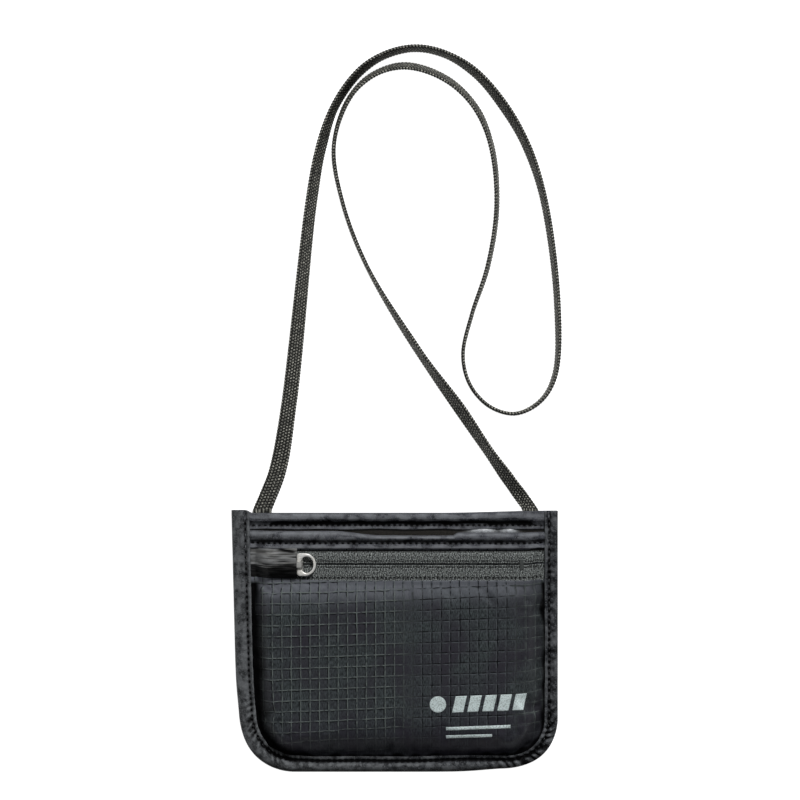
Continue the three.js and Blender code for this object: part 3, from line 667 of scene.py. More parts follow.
def left_side(y):
    """The straight left side, which leans in on its way down."""
    down = np.clip((TOP - y) / (TOP - LEFT_CORNER_Y), 0, 1)
    return -HALF_WIDTH + LEFT_TAPER * down


def left_edge(y, inset):
    radius = LEFT_RADIUS - inset
    round_part = LEFT_CORNER_X - np.sqrt(np.maximum(radius**2 - (LEFT_CORNER_Y - y) ** 2, 0))
    return np.where(y >= LEFT_CORNER_Y, left_side(y) + inset, round_part)


def right_edge(y, inset):
    radius = RIGHT_RADIUS - inset
    round_part = RIGHT_CORNER_X + np.sqrt(np.maximum(radius**2 - (RIGHT_CORNER_Y - y) ** 2, 0))
    return np.where(y >= RIGHT_CORNER_Y, HALF_WIDTH - inset, round_part)


def across_pouch(y, share):
    return lerp(left_edge(y, SEAM_INSET), right_edge(y, SEAM_INSET), share)


def distance_inside(x, y):
    """How far a place is inside the edge binding's inner edge, negative under the binding."""
    from_left = x - left_side(y) - BINDING_LEFT
    from_right = HALF_WIDTH - BINDING_RIGHT - x
    from_bottom = y - BOTTOM - BINDING_BOTTOM
    nearer_left = from_left < from_right
    radius = np.where(nearer_left, LEFT_RADIUS - BINDING_LEFT, RIGHT_RADIUS - BINDING_RIGHT)
    from_side = np.minimum(from_left, from_right)
    in_corner = (from_side < radius) & (from_bottom < radius)
    rounded = radius - np.hypot(radius - from_side, radius - from_bottom)
    return np.where(in_corner, rounded, np.minimum(from_side, from_bottom))


def puff(x, y):
    """0 at the binding and 1 over the level middle of the pouch."""
    return smoothstep(distance_inside(x, y), SLOPE_START, SLOPE_END)


def layer_middle(layer):
    return layer * LAYER + 0.15


def outline_stations(step):
    """Points round the left side, the bottom and the right side, their inward normals and run."""
    left_turn = np.linspace(math.pi, 1.5 * math.pi, 60)
    right_turn = np.linspace(1.5 * math.pi, math.tau, 60)
    left_x = LEFT_CORNER_X + LEFT_RADIUS * np.cos(left_turn)
    left_y = LEFT_CORNER_Y + LEFT_RADIUS * np.sin(left_turn)
    right_x = RIGHT_CORNER_X + RIGHT_RADIUS * np.cos(right_turn)
    right_y = RIGHT_CORNER_Y + RIGHT_RADIUS * np.sin(right_turn)
    corners = np.vstack([np.column_stack([left_x, left_y]), np.column_stack([right_x, right_y])])
    path = np.vstack([(-HALF_WIDTH, TOP), corners, (HALF_WIDTH, TOP)])
    run = np.concatenate([[0], np.cumsum(np.linalg.norm(np.diff(path, axis=0), axis=1))])
    even = np.linspace(0, run[-1], round(run[-1] / step) + 1)
    places = np.column_stack([np.interp(even, run, path[:, axis]) for axis in range(2)])
    ahead = unit(np.gradient(places, axis=0))
    inward = np.column_stack([-ahead[:, 1], ahead[:, 0]])
    inward[0], inward[-1] = (1, 0), (-1, 0)
    return places, inward, even


def binding_width(x):
    """The binding's width changes evenly from one side to the other, and wanders along the bottom."""
    across = np.clip(x / RIGHT_CORNER_X, -1, 1)
    side = np.where(across < 0, BINDING_LEFT, BINDING_RIGHT)
    wander = 1.2 * bump(x, 31, 18) - 0.6 * bump(x, -34, 14)
    return lerp(BINDING_BOTTOM, side, np.abs(across)) + wander


def finish_piece(piece, body, slot, *nodes):
    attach(piece, body)
    if nodes:
        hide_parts(*nodes)
    return piece


# ---- Edge binding -------------------------------------------------------------------------

EDGE_CLOTH_THICKNESS = 0.35
EDGE_TOP = POUCH_HIGH[2] - 0.2


def corner_share(places):
    """1 in the two round corners and 0 along the straight sides."""
    x, y = places[:, 0], places[:, 1]
    low_enough = 1 - smoothstep(y, LEFT_CORNER_Y - 8, LEFT_CORNER_Y + 14)
    out_enough = smoothstep(np.abs(x), RIGHT_CORNER_X - 12, RIGHT_CORNER_X + 4)
    return low_enough * out_enough


def edge_binding_shape():
    """The folded tape's middle surface: under leg, fold, then over leg, at each station."""
    places, inward, run = outline_stations(0.5)
    width = binding_width(places[:, 0])[:, None]
    corner = corner_share(places)[:, None]
    right = smoothstep(places[:, 0], 20, 60)[:, None]
    run = run[:, None]
    under = np.linspace(1, 0.14, 8)
    turn = np.linspace(0, 1, 10)[1:-1]
    over = np.linspace(0.10, 1, 34)
    fold_in = 1.0 - np.sin(math.pi * turn)
    fold_up = 0.5 - 0.5 * np.cos(math.pi * turn)
    fold = 0.25 + fold_in * 0.7 + 0 * width
    inset = np.concatenate([under * width, fold, over * width], axis=1)
    level = np.concatenate([0 * under, fold_up, 1 + 0 * over])
    height = 0.2 + (EDGE_TOP - 0.2) * level[None] + 0 * inset
    from_edge = width - inset
    on_top = (level == 1)[None] + 0 * inset
    body = np.sin(math.pi * np.clip((inset - 0.4) / (width - 2.4), 0, 1)) ** 0.8
    lowest = 1 - smoothstep(places[:, 1], BOTTOM + 6, BOTTOM + 14)[:, None]
    groove = bump(from_edge, 1.9, 0.6 + 0.25 * lowest)
    lip = bump(from_edge, 0.7, 0.75)
    stitch = (0.5 - 0.5 * np.cos(math.tau * run / STITCH_PITCH)) ** 0.7
    puckers = np.sin(math.tau * (run + 0.9 * inset * corner) / 4.3 + 1.6 * wobble(run, inset, 14, 3))
    creases = np.sin(math.tau * (run - 0.7 * inset) / 2.9 + 2.0 * wobble(run, inset, 9, 4))
    near_stitch = bump(from_edge, 3.0, 2.2)
    padding = (0.35 + 0.25 * (1 - right) + 0.75 * lowest) * (1 + 0.35 * wobble(run, inset, 9, 5))
    height += on_top * padding * body
    height -= on_top * groove * (0.30 + 0.30 * stitch)
    height += on_top * 0.22 * lip
    height += on_top * near_stitch * puckers * (0.12 + 0.40 * corner + 0.14 * right)
    height += on_top * near_stitch * creases * (0.06 + 0.10 * corner + 0.10 * right)
    height -= on_top * 0.35 * smoothstep(-from_edge, -0.4, 0.0)
    plan = places[:, None] + inward[:, None] * inset[..., None]
    middle = np.concatenate([plan, height[..., None]], axis=-1)
    # relief_shade: painted shade in the stitched groove, on the outer side of the roll along the bottom and
    # in the pucker troughs; painted highlights on the lip, the roll and the pucker crests; and random
    # darker patches.
    relief_shade = 0.78 - on_top * np.clip(groove * (0.30 + 0.70 * stitch + 0.5 * lowest), 0, 1)
    relief_shade += on_top * 0.22 * (1 - 2 * lowest) * bump(from_edge, 0.35, 0.4)
    relief_shade -= on_top * 0.65 * lowest * (1 - smoothstep(inset, 0.4, 3.2))
    relief_shade += on_top * 0.16 * lowest * bump(from_edge, 3.3, 0.7)
    relief_shade -= on_top * near_stitch * (0.12 + 0.38 * corner + 0.22 * right) * (0.5 - 0.5 * puckers)
    relief_shade += on_top * near_stitch * (0.14 + 0.12 * corner) * np.clip(puckers, 0, 1) * (1 - groove)
    relief_shade -= on_top * 0.18 * (1 - lowest) * np.clip(wobble(run, inset, 7, 6), 0, 1)
    cloth = np.stack(np.broadcast_arrays(run, inset * (2 * on_top - 1), 0.0), axis=-1)
    return middle, cloth, np.clip(relief_shade, 0, 1)


def make_edge_binding():
    middle, cloth, relief_shade = edge_binding_shape()
    piece = add_sheet("edge_binding_tape", middle, EDGE_CLOTH_THICKNESS, EDGE_CLOTH, cloth, relief_shade)
    finish_piece(piece, "pouch", "binding", "edge_binding")


# ---- Stitches -----------------------------------------------------------------------------

def stitch_tube(start, end, radius):
    """One stitch: thread that rises from its hole, lies on the cloth and goes down again."""
    share = np.linspace(0, 1, 7)
    line = lerp(start, end, share[:, None])
    line[:, 2] += radius * (np.sin(math.pi * share) ** 0.4 * 1.6 - 1.3)
    return round_tube(line, radius * (0.75 + 0.25 * np.sin(math.pi * share)), sides=6)


def stitch_row(name, points, radius, *nodes):
    """A stitch from each hole of a row to the next, with small gaps at the holes."""
    tubes = []
    for start, end in zip(points[:-1], points[1:]):
        tubes.append(stitch_tube(lerp(start, end, 0.22), lerp(start, end, 0.78), radius))
    piece = add_tubes(name, tubes, THREAD, cloths=tubes)
    finish_piece(piece, "pouch", "thread", *nodes)


def make_edge_stitches():
    places, inward, run = outline_stations(0.5)
    holes = np.arange(STITCH_PITCH / 2, run[-1] - 0.5, STITCH_PITCH)
    inset = binding_width(places[:, 0]) - 2.0
    line = places + inward * inset[:, None]
    x = np.interp(holes, run, line[:, 0])
    y = np.interp(holes, run, line[:, 1])
    sunk = 0.45 * (1 - smoothstep(y, BOTTOM + 6, BOTTOM + 14))
    points = np.column_stack([x, y, EDGE_TOP - 0.12 - sunk])
    stitch_row("edge_stitches", points, 0.24, "edge_stitching")


# ---- Top bindings -------------------------------------------------------------------------

BAND_CLOTH_THICKNESS = 0.3
REAR_STITCH_Y = 51.2
POCKET_STITCH_Y = 43.6
ZIP_STITCH_Y = 28.6
BAND_STITCHES_LEFT = -62
BAND_STITCHES_RIGHT = 65


def band_profile(fractions, stops):
    """Heights along a band's front leg, smooth between the stops (place, height)."""
    places, heights = zip(*stops)
    fine = np.linspace(places[0], places[-1], 200)
    rough = np.interp(fine, places, heights)
    kernel = np.hanning(15)
    padded = np.pad(rough, 7, mode="edge")
    return np.interp(fractions, fine, np.convolve(padded, kernel / kernel.sum(), mode="valid"))


def folded_band(low, high, front_rows, back_height, stops):
    """Y, Z and share of the front across a folded tape: under leg, fold, then front leg."""
    under_y = np.linspace(low, high - 0.5, 8)
    turn = np.linspace(0, math.pi, 9)[1:-1]
    over_y = np.linspace(high - 0.45, low, front_rows)
    over_z = band_profile(high - 0.45 - over_y, stops)
    fold_z = lerp(back_height, over_z[0], 0.5 - 0.5 * np.cos(turn))
    y = np.concatenate([under_y, high - 0.45 + 0.4 * np.sin(turn), over_y])
    z = np.concatenate([0 * under_y + back_height, fold_z, over_z])
    front = np.concatenate([0 * under_y, turn / math.pi, 1 + 0 * over_y])
    return y[None], z[None], front[None]


def strap_under_band(x, y):
    """1 where the strap's sewn end fills the rear band from below."""
    left = 1 - smoothstep(x, -56.5, -54.0)
    right = smoothstep(x + (y - 52) * 0.9, 60.5, 63.5)
    return np.maximum(left, right)


def rear_band_shape():
    """The rear binding, filled out from below at the strap's sewn ends."""
    x = np.arange(left_edge(TOP, SEAM_INSET), right_edge(TOP, SEAM_INSET) + 0.2, 0.45)[:, None]
    stops = [
        (0, 2.5), (1.0, 3.5), (2.4, 3.6), (3.6, 3.1), (4.5, 2.1), (5.4, 1.8), (6.3, 1.75), (7.1, 2.2),
        (8.1, 2.1),
    ]
    y, z, front = folded_band(REAR_BAND_BOTTOM, TOP, 38, 0.55, stops)
    y = y + 0 * x
    z = z + 0 * x
    filled = strap_under_band(x, y)
    flat = smoothstep(TOP - y, 7.0, 3.0)
    z += front * filled * flat * np.maximum(3.5 - z, 0) * 0.9
    along = 0.5 + 0.5 * np.cos(math.tau * x / STITCH_PITCH)
    groove = bump(y, REAR_STITCH_Y, 0.5)
    z -= front * groove * 0.22 * along
    roll = smoothstep(y, 52.2, 55.0)
    z += front * roll * 0.28 * wobble(x, y * 1.5, 13, 11)
    y = y + front * 0.18 * wobble(x, 0 * y, 22, 12) * smoothstep(TOP - y, 7.5, 8.5)
    # relief_shade: painted shade in the stitched groove, in the valley under the roll and in two creases,
    # random darker patches, and painted highlights along the lower edge and the top roll.
    relief_shade = 0.8 - front * groove * (0.15 + 0.85 * along)
    valley = bump(y + 0.5 * wobble(x, 0 * y, 18, 13), 52.6, 1.25) * (1 - filled)
    crease = fold_mark(x, y, (-28.5, 53.5), -52, 3.2, 0.5) + fold_mark(x, y, (-31.5, 54), -60, 2.6, 0.4)
    relief_shade -= front * (0.85 * valley + 0.30 * np.clip(wobble(x, y, 8, 14), 0, 1) + 0.4 * crease)
    relief_shade += front * (0.20 * bump(y, 50.1, 0.5) + 0.20 * bump(y, 56.2, 1.0))
    middle = np.stack(np.broadcast_arrays(x, y, z), axis=-1)
    cloth = np.stack(np.broadcast_arrays(x, y * (2 * front - 1), 0.0), axis=-1)
    return middle, cloth, np.clip(relief_shade, 0, 1)


def pocket_band_shape():
    """The pocket binding, whose upper edge sinks where the slot stands open."""
    share = np.linspace(0, 1, 315)[:, None]
    high = POCKET_BAND_HIGH[1]
    stops = [
        (0, 3.7), (0.7, 4.5), (1.6, 4.6), (2.6, 4.1), (3.3, 3.6), (4.1, 3.35), (5.0, 4.0), (5.8, 4.2),
        (6.3, 4.0),
    ]
    y, z, front = folded_band(POCKET_BAND_LOW[1], high, 32, 1.75, stops)
    y = y + 0 * share
    z = z + 0 * share
    x = across_pouch(y, share)
    exposed = smoothstep(distance_inside(x, y), -0.8, 1.2)
    z = np.where(front > 0, lerp(np.minimum(z, 3.3), z, exposed), z)
    lift = SLOT_RISE * puff(x, np.full_like(y, high))
    along = 0.5 + 0.5 * np.cos(math.tau * x / STITCH_PITCH + 1.0)
    groove = bump(y, POCKET_STITCH_Y, 0.5)
    z = z + lift - front * groove * 0.2 * along
    z += front * exposed * smoothstep(y, 44.4, 46.5) * 0.25 * wobble(x, y * 1.5, 15, 21)
    crease = fold_mark(x, y, (-38, 46.5), -48, 2.4, 0.4) + fold_mark(x, y, (-31, 46), -48, 2.4, 0.4)
    # relief_shade: painted shade in the stitched groove and the valley above it, painted highlights along
    # the lower edge, the top and the creases, and random darker patches.
    relief_shade = 0.8 - front * groove * (0.15 + 0.85 * along) - front * 0.6 * bump(y, 44.8, 0.8)
    relief_shade += front * (0.22 * bump(y, 42.0, 0.5) + 0.2 * bump(y, 47.2, 0.8) + 0.2 * crease)
    relief_shade -= front * 0.25 * np.clip(wobble(x, y, 8, 22), 0, 1)
    gap = smoothstep(x, -28, -4) * (1 - smoothstep(x, 25.5, 28.5))
    right = smoothstep(x, 25.5, 28.5)
    y = y + smoothstep(y, 45, 48) * lerp(lerp(0.95, 0.25, right), -1.1, gap)
    middle = np.stack([x, y, z], axis=-1)
    cloth = np.stack(np.broadcast_arrays(x, y * (2 * front - 1), 0.0), axis=-1)
    return middle, cloth, np.clip(relief_shade, 0, 1)


def rear_stitch_height(x):
    return 1.95 + 0 * x


def pocket_stitch_height(x):
    return 3.55 + SLOT_RISE * puff(x, np.full_like(x, POCKET_BAND_HIGH[1]))


def band_stitches(name, y, height, phase, *nodes):
    """Stitches across the pouch; their holes are where the groove is deepest."""
    first = math.ceil(BAND_STITCHES_LEFT / STITCH_PITCH)
    last = math.floor(BAND_STITCHES_RIGHT / STITCH_PITCH)
    x = (np.arange(first, last + 1) - phase / math.tau) * STITCH_PITCH
    points = np.column_stack([x, np.full(len(x), y), height(x)])
    stitch_row(name, points, 0.22, *nodes)


def make_top_bindings():
    middle, cloth, relief_shade = rear_band_shape()
    rear = add_sheet("rear_binding_tape", middle, BAND_CLOTH_THICKNESS, BAND_CLOTH, cloth, relief_shade)
    finish_piece(rear, "pouch", "binding", "rear_top_binding")
    middle, cloth, relief_shade = pocket_band_shape()
    pocket = add_sheet("pocket_binding_tape", middle, BAND_CLOTH_THICKNESS, BAND_CLOTH, cloth, relief_shade)
    finish_piece(pocket, "pouch", "binding", "front_top_binding")
    band_stitches("rear_band_stitches", REAR_STITCH_Y, rear_stitch_height, 0, "rear_top_stitching")
    band_stitches("pocket_band_stitches", POCKET_STITCH_Y, pocket_stitch_height, 1.0, "front_top_stitching")


# ---- Cloth panels -------------------------------------------------------------------------

PANEL_THICKNESS = 0.28
PANEL_BOTTOM = BOTTOM + SEAM_INSET


def panel_grid(columns, rows, top):
    """Plan of a panel between its seams: X and Y of a grid that follows the outline."""
    share = np.linspace(0, 1, columns)[None]
    down = np.linspace(0, 1, rows)[:, None]
    y = lerp(PANEL_BOTTOM, top, down ** 0.85) + 0 * share
    return across_pouch(y, share), y


def settle(middle, seam, growth, frames=22, scale=10.0):
    """Lets cloth that is cut a little too large buckle between its seams, and returns it.

    The cloth is simulated at ten times its size, where the solver is steady."""
    rows, columns = middle.shape[:2]
    mesh = bpy.data.meshes.new("settling")
    points = middle.reshape(-1, 3) * MM * scale
    mesh.from_pydata(points.tolist(), [], grid_faces(rows, columns))
    cloth = bpy.data.objects.new("settling", mesh)
    bpy.context.scene.collection.objects.link(cloth)
    pins = cloth.vertex_groups.new(name="seam")
    pins.add([int(i) for i in np.flatnonzero(seam)], 1.0, "REPLACE")
    modifier = cloth.modifiers.new("cloth", "CLOTH")
    settings = modifier.settings
    settings.quality = 6
    settings.mass = 0.3
    settings.tension_stiffness = 20
    settings.compression_stiffness = 20
    settings.bending_stiffness = 0.6
    settings.air_damping = 3
    settings.vertex_group_mass = "seam"
    settings.shrink_min = -growth
    settings.effector_weights.gravity = 0
    settings.use_pressure = True
    settings.uniform_pressure_force = 1.2
    scene = bpy.context.scene
    for number in range(1, frames + 1):
        scene.frame_set(number)
    evaluated = cloth.evaluated_get(bpy.context.evaluated_depsgraph_get())
    moved = np.empty(len(mesh.vertices) * 3)
    evaluated.data.vertices.foreach_get("co", moved)
    bpy.data.objects.remove(cloth)
    bpy.data.meshes.remove(mesh)
    scene.frame_set(1)
    return moved.reshape(rows, columns, 3) / MM / scale


def front_rise(y):
    return lerp(FRONT_RISE, ZIP_RISE, smoothstep(y, 20, 26))


def fold_mark(x, y, place, angle, length, width):
    """A straight soft fold: 1 along its middle, and 0 away from it."""
    along_x, along_y = math.cos(math.radians(angle)), math.sin(math.radians(angle))
    run = (x - place[0]) * along_x + (y - place[1]) * along_y
    off = (y - place[1]) * along_x - (x - place[0]) * along_y
    return np.exp(-((run / length) ** 4)) * np.exp(-((off / width) ** 2))


def gathers(x, y, seed):
    """Ripples that run in from the seams, strongest near them."""
    angle = np.arctan2(y + 8, x)
    inside = distance_inside(x, y)
    ripple = np.sin(angle * 46 + 2.2 * wobble(x, y, 34, seed))
    return ripple * smoothstep(inside, 0.0, 2.5) * np.exp(-np.maximum(inside, 0) / 7.5)


def front_panel_top(x):
    """The hem stands a little higher at the left end, where the garage holds it."""
    return lerp(28.3, 27.0, smoothstep(x, -58, -30))


def front_panel_shape():
    grid_top = 28.5
    x, y = panel_grid(66, 44, grid_top)
    hem = front_panel_top(x)
    y = PANEL_BOTTOM + (y - PANEL_BOTTOM) * (hem - PANEL_BOTTOM) / (grid_top - PANEL_BOTTOM)
    crown = 0.5 * np.sin(math.pi * np.clip((x + 66) / 132, 0, 1)) * smoothstep(-y, -24, 5)
    z = layer_middle(8) + (front_rise(y) + crown) * puff(x, y)
    designed = np.stack([x, y, z], axis=-1)
    seam = distance_inside(x, y) < 1.5
    seam[-2:] = True
    offset = settle(designed, seam, 0.02) - designed
    size = np.linalg.norm(offset, axis=-1, keepdims=True)
    settled = designed + offset * np.minimum(1, 1.1 / np.maximum(size, 1e-6))
    folds = (
        0.55 * fold_mark(x, y, (-41, 20), 86, 8, 1.6)
        - 0.45 * fold_mark(x, y, (-46, 19), 80, 8, 2.0)
        - 0.50 * fold_mark(x, y, (41, 21), 78, 6, 1.8)
        + 0.45 * fold_mark(x, y, (45, 20), 82, 7, 2.0)
        - 0.40 * fold_mark(x, y, (56, 14), 100, 14, 3.0)
        + 0.35 * fold_mark(x, y, (-38, -30), 52, 12, 3.2)
    )
    settled[..., 2] += folds * puff(x, y)
    settled[..., 2] += 0.55 * gathers(x, y, 31) * (1 - smoothstep(y, 8, 24))
    place = np.stack([x, y - 0.035 * x, 0 * x], axis=-1)
    return refine(refine(settled)), refine(refine(place))


def with_hem(middle, cloth):
    """Turns the top edge under, as a folded hem."""
    edge = middle[-1]
    radius = 0.32
    rows = []
    for turn in np.linspace(0, math.pi, 8)[1:]:
        rows.append(edge + np.array([0, radius * math.sin(turn), -radius * (1 - math.cos(turn))]))
    back = rows[-1]
    rows += [back + np.array([0, -turned_in, 0]) for turned_in in (0.8, 1.8, 3.0, 4.2)]
    marks = [cloth[-1] + np.array([0, 0.4 * (i + 1), 0]) for i in range(len(rows))]
    return np.concatenate([middle, rows]), np.concatenate([cloth, marks])


def seam_shade(x, y):
    """Painted shade beside the seams, widest along the left side: 0 where it is deepest, and 1 outside it.
    """
    inside = distance_inside(x, y) + 0.7 * wobble(x, y, 9, 35)
    left = 1 - smoothstep(x, -58, -34)
    low = 1 - smoothstep(y, -40, 20)
    width = 1.9 + left * (4.3 + 2.6 * low)
    return smoothstep(inside, 0.25 * width, 1.15 * width)


def ripstop_pillow(cloth):
    """The cloth stands up a little between its thicker threads."""
    u, v = cloth[..., 0], cloth[..., 1]
    squares = np.abs(np.sin(math.pi * u / RIPSTOP_COLUMNS) * np.sin(math.pi * v / RIPSTOP_ROWS))
    return 0.10 * squares ** 0.5


def make_front_panel():
    middle, cloth = front_panel_shape()
    body_rows = len(middle)
    middle, cloth = with_hem(middle, cloth)
    normals = grid_normals(middle)
    middle = middle + normals * np.sign(normals[..., 2:]) * ripstop_pillow(cloth)[..., None]
    # Painted shade beside the seams, with none near the hem at the top.
    relief_shade = seam_shade(middle[..., 0], middle[..., 1])
    relief_shade = 1 - (1 - relief_shade) * (1 - smoothstep(middle[..., 1], 25.5, 27.5))
    piece = add_sheet("front_panel_cloth", middle, PANEL_THICKNESS, RIPSTOP, cloth, relief_shade)
    finish_piece(piece, "pouch", "nylon_shell", "front_panel")
    return middle[:body_rows]


def make_inner_panel(node, layer, rise, top, material, slot, seed, lit=0.0):
    """A panel inside the pouch. lit is how far it bulges up where the open slot shows it."""
    x, y = panel_grid(120, 90, top)
    z = layer_middle(layer) + rise * puff(x, y) + 0.12 * rise / SLOT_RISE * gathers(x, y, seed)
    middle = np.stack([x, y, z], axis=-1)
    cloth = np.stack([x, y, 0 * x], axis=-1)
    middle[..., 2] += 0.4 * ripstop_pillow(cloth)
    bulge = lit * bump(y, 48.6, 1.1) * np.maximum(bump(x, 39, 5), bump(x, 50.5, 3))
    middle[..., 2] += 1.7 * bulge
    relief_shade = np.minimum(1, bulge * 2.5) if material is LINING else None
    piece = add_sheet(f"{node}_cloth", middle, 0.22, material, cloth, relief_shade)
    finish_piece(piece, "pouch", slot, node)


def make_inner_panels():
    make_inner_panel("rear_panel", 2, 0.0, TOP - 2.2, RIPSTOP, "nylon_shell", 41)
    make_inner_panel("rear_lining", 3, 0.0, TOP - 6.8, LINING, "lining", 42, lit=1.0)
    make_inner_panel("divider_lining", 5, SLOT_RISE, 47.2, LINING, "lining", 43)
    make_inner_panel("divider_panel", 6, SLOT_RISE, 47.2, RIPSTOP, "nylon_shell", 44)


# ---- Zip ----------------------------------------------------------------------------------

TAPE_Z = layer_middle(7)
SLIT_HALF = 0.35
KNIT_PITCH = 0.95
KNIT_ROW = 0.66


def tape_height(x, y):
    """The upper tape dips under the pocket binding; both tapes sink to the seams at their ends."""
    down = smoothstep(y, 38.6, 41.2)
    return TAPE_Z + lerp(ZIP_RISE, SLOT_RISE - 0.9, down) * puff(x, y)


def knit_relief(x, y):
    """Slanting loops in rows that lean left and right in turn."""
    row = np.floor(y / KNIT_ROW)
    lean = np.where(row % 2 == 0, 0.3, -0.3) * ((y / KNIT_ROW) % 1)
    loops = 0.5 + 0.5 * np.cos(math.tau * (x / KNIT_PITCH + 0.37 * row + lean + 0.35 * wobble(x, y, 5, 52)))
    return np.sin(math.pi * ((y / KNIT_ROW) % 1)) ** 0.7 * loops


def make_tape(name, node, low, high, side):
    y = np.arange(low, high + 0.01, (high - low) / round((high - low) / 0.155))[:, None]
    share = np.linspace(0, 1, 560)[None]
    x = across_pouch(y, share)
    y = y + 0 * x
    relief_shade = knit_relief(x, y)
    holes = bump(y, ZIP_LINE + side * 1.3, 0.30) * (0.5 + 0.5 * np.cos(math.tau * x / 1.2))
    if side < 0:
        holes = np.maximum(holes, bump(y, ZIP_STITCH_Y, 0.42) * (0.5 + 0.5 * np.cos(math.tau * x / 1.9)))
    edge = bump(y, ZIP_LINE + side * SLIT_HALF, 0.3)
    seen = smoothstep(distance_inside(x, y), -0.5, 1.0)
    rough = 0.14 * relief_shade - 0.30 * holes - 0.18 * edge + 0.12 * wobble(x, y, 26, 51)
    z = tape_height(x, y) + lerp(-0.4, rough, seen)
    # Painted shade: darker in the stitch holes and along the slit's edge, painted highlight on the standing
    # loops, and a painted shadow where the tape dips under the pocket binding.
    shade = np.clip(0.18 + 0.82 * relief_shade * (1 - 0.4 * edge) - 1.1 * holes, 0, 1)
    shade = shade * (1 - smoothstep(y, 39.3, 40.4))
    middle = np.stack([x, y, z], axis=-1)
    cloth = np.stack([x, y, 0 * x], axis=-1)
    piece = add_sheet(name, middle, 0.3, TAPE_CLOTH, cloth, shade)
    finish_piece(piece, "pouch", "zip_tape", node)


def make_coil(name, node, side):
    """A nylon spiral, flattened, sewn under the tape's inner edge."""
    low, high = reach(node)
    turns = int((high[0] - low[0]) / 1.25)
    turn = np.linspace(0, turns * math.tau, turns * 12)
    centre_y, centre_z = (low[1] + high[1]) / 2, (low[2] + high[2]) / 2
    wire = 0.2
    line = np.column_stack([
        np.linspace(low[0] + 0.3, high[0] - 0.3, len(turn)),
        centre_y + side * ((high[1] - low[1]) / 2 - wire) * np.cos(turn),
        centre_z + ((high[2] - low[2]) / 2 - wire) * np.sin(turn),
    ])
    piece = add_tubes(name, [round_tube(line, wire, sides=6, up=(1, 0, 0))], COIL)
    finish_piece(piece, "pouch", "zip_coil", node)


def make_zip_stitches():
    """The row that holds the front panel's hem to the lower tape."""
    x = np.arange(-42, 62, 1.9)
    y = np.full(len(x), ZIP_STITCH_Y)
    points = np.column_stack([x, y, tape_height(x, y) + 0.12])
    stitch_row("zip_tape_stitches", points, 0.17, "zip_stitching")


def make_garage():
    """A ribbed grosgrain tab arched over the closed slider, painted dark on its lower side as shade, with a
    small fold at one corner."""
    x = np.arange(GARAGE_LOW[0] + 0.4, GARAGE_HIGH[0] + 0.5, 0.25)[:, None]
    share = np.linspace(0, 1, 110)[None]
    y = lerp(GARAGE_LOW[1] - 0.2, GARAGE_HIGH[1] + 0.6, share) + 0 * x
    base = layer_middle(8) + lerp(ZIP_RISE, SLOT_RISE, smoothstep(y, 38.6, 41.6)) * puff(x, y)
    arch = 4.3 * np.sin(math.pi * share) ** 0.6 * smoothstep(x, -63.8, -54.8)
    streaks = wobble(x * 0.05, y, 0.75, 61)
    ribs = np.sin(math.tau * y / 0.62 + 0.6 * wobble(x * 0.1, y, 6, 62))
    corner = fold_mark(x, y, (GARAGE_HIGH[0] - 4, GARAGE_HIGH[1] - 0.6), -12, 4, 0.5)
    slack = 0.3 * wobble(x, y, 9, 63) * smoothstep(arch, 0.5, 3)
    z = base + arch + 0.07 * ribs + 0.10 * streaks + slack - 0.6 * corner
    # relief_shade: painted shade in the corner fold and between the ribs, random streaks of tone, and
    # painted shade over the lower side of the arch.
    relief_shade = np.clip(0.60 + 0.34 * streaks + 0.16 * ribs - 0.6 * corner, 0, 1)
    relief_shade = relief_shade * lerp(0.15, 1.0, smoothstep(y + 0.8 * streaks, 33.2, 36.2))
    middle = np.stack(np.broadcast_arrays(x, y, z), axis=-1)
    cloth = np.stack(np.broadcast_arrays(y * 1.6, x * 0.2, 0.0), axis=-1)
    piece = add_sheet("zip_garage_tab", middle, 0.3, GARAGE_CLOTH, cloth, relief_shade)
    finish_piece(piece, "pouch", "binding", "zip_garage")


def make_zip():
    make_tape("zip_tape_lower_knit", "zip_tape_lower", 26.0, ZIP_LINE - SLIT_HALF, -1)
    make_tape("zip_tape_upper_knit", "zip_tape_upper", ZIP_LINE + SLIT_HALF, 46.0, 1)
    make_coil("zip_coil_lower_spiral", "zip_coil_lower", -1)
    make_coil("zip_coil_upper_spiral", "zip_coil_upper", 1)
    make_zip_stitches()
    make_garage()
    for name in ("zip_top_stop_lower", "zip_top_stop_upper", "zip_bottom_stop"):
        stop = bpy.data.objects[name]
        stop.data.materials.clear()
        stop.data.materials.append(STOP_NYLON)


# ---- Slider and pull ring -----------------------------------------------------------------

def bevelled_copy(node, name, width, material):
    """A copy of a CAD node with its sharp edges rounded."""
    source = bpy.data.objects[node]
    piece = bpy.data.objects.new(name, source.data.copy())
    piece.data.materials.clear()
    piece.data.materials.append(material)
    bpy.context.scene.collection.objects.link(piece)
    bevel = piece.modifiers.new("rounding", "BEVEL")
    bevel.width = width * MM
    bevel.segments = 3
    bevel.limit_method = "ANGLE"
    bevel.angle_limit = math.radians(35)
    return piece


def d_outline(angle, half, left, right):
    """How far the D's outline is from its middle, in each direction."""
    corner = 1.3
    best = np.zeros(angle.shape)
    for radius in np.linspace(2, 12, 900):
        x, y = radius * np.cos(angle), np.abs(radius * np.sin(angle))
        straight = (x >= left) & (y <= half)
        past_corner = np.hypot(np.minimum(x - left - corner, 0), np.maximum(y - half + corner, 0))
        round_end = (x <= right - half) | (np.hypot(x - right + half, y) <= half)
        best = np.where(straight & (past_corner <= corner) & round_end, radius, best)
    return best


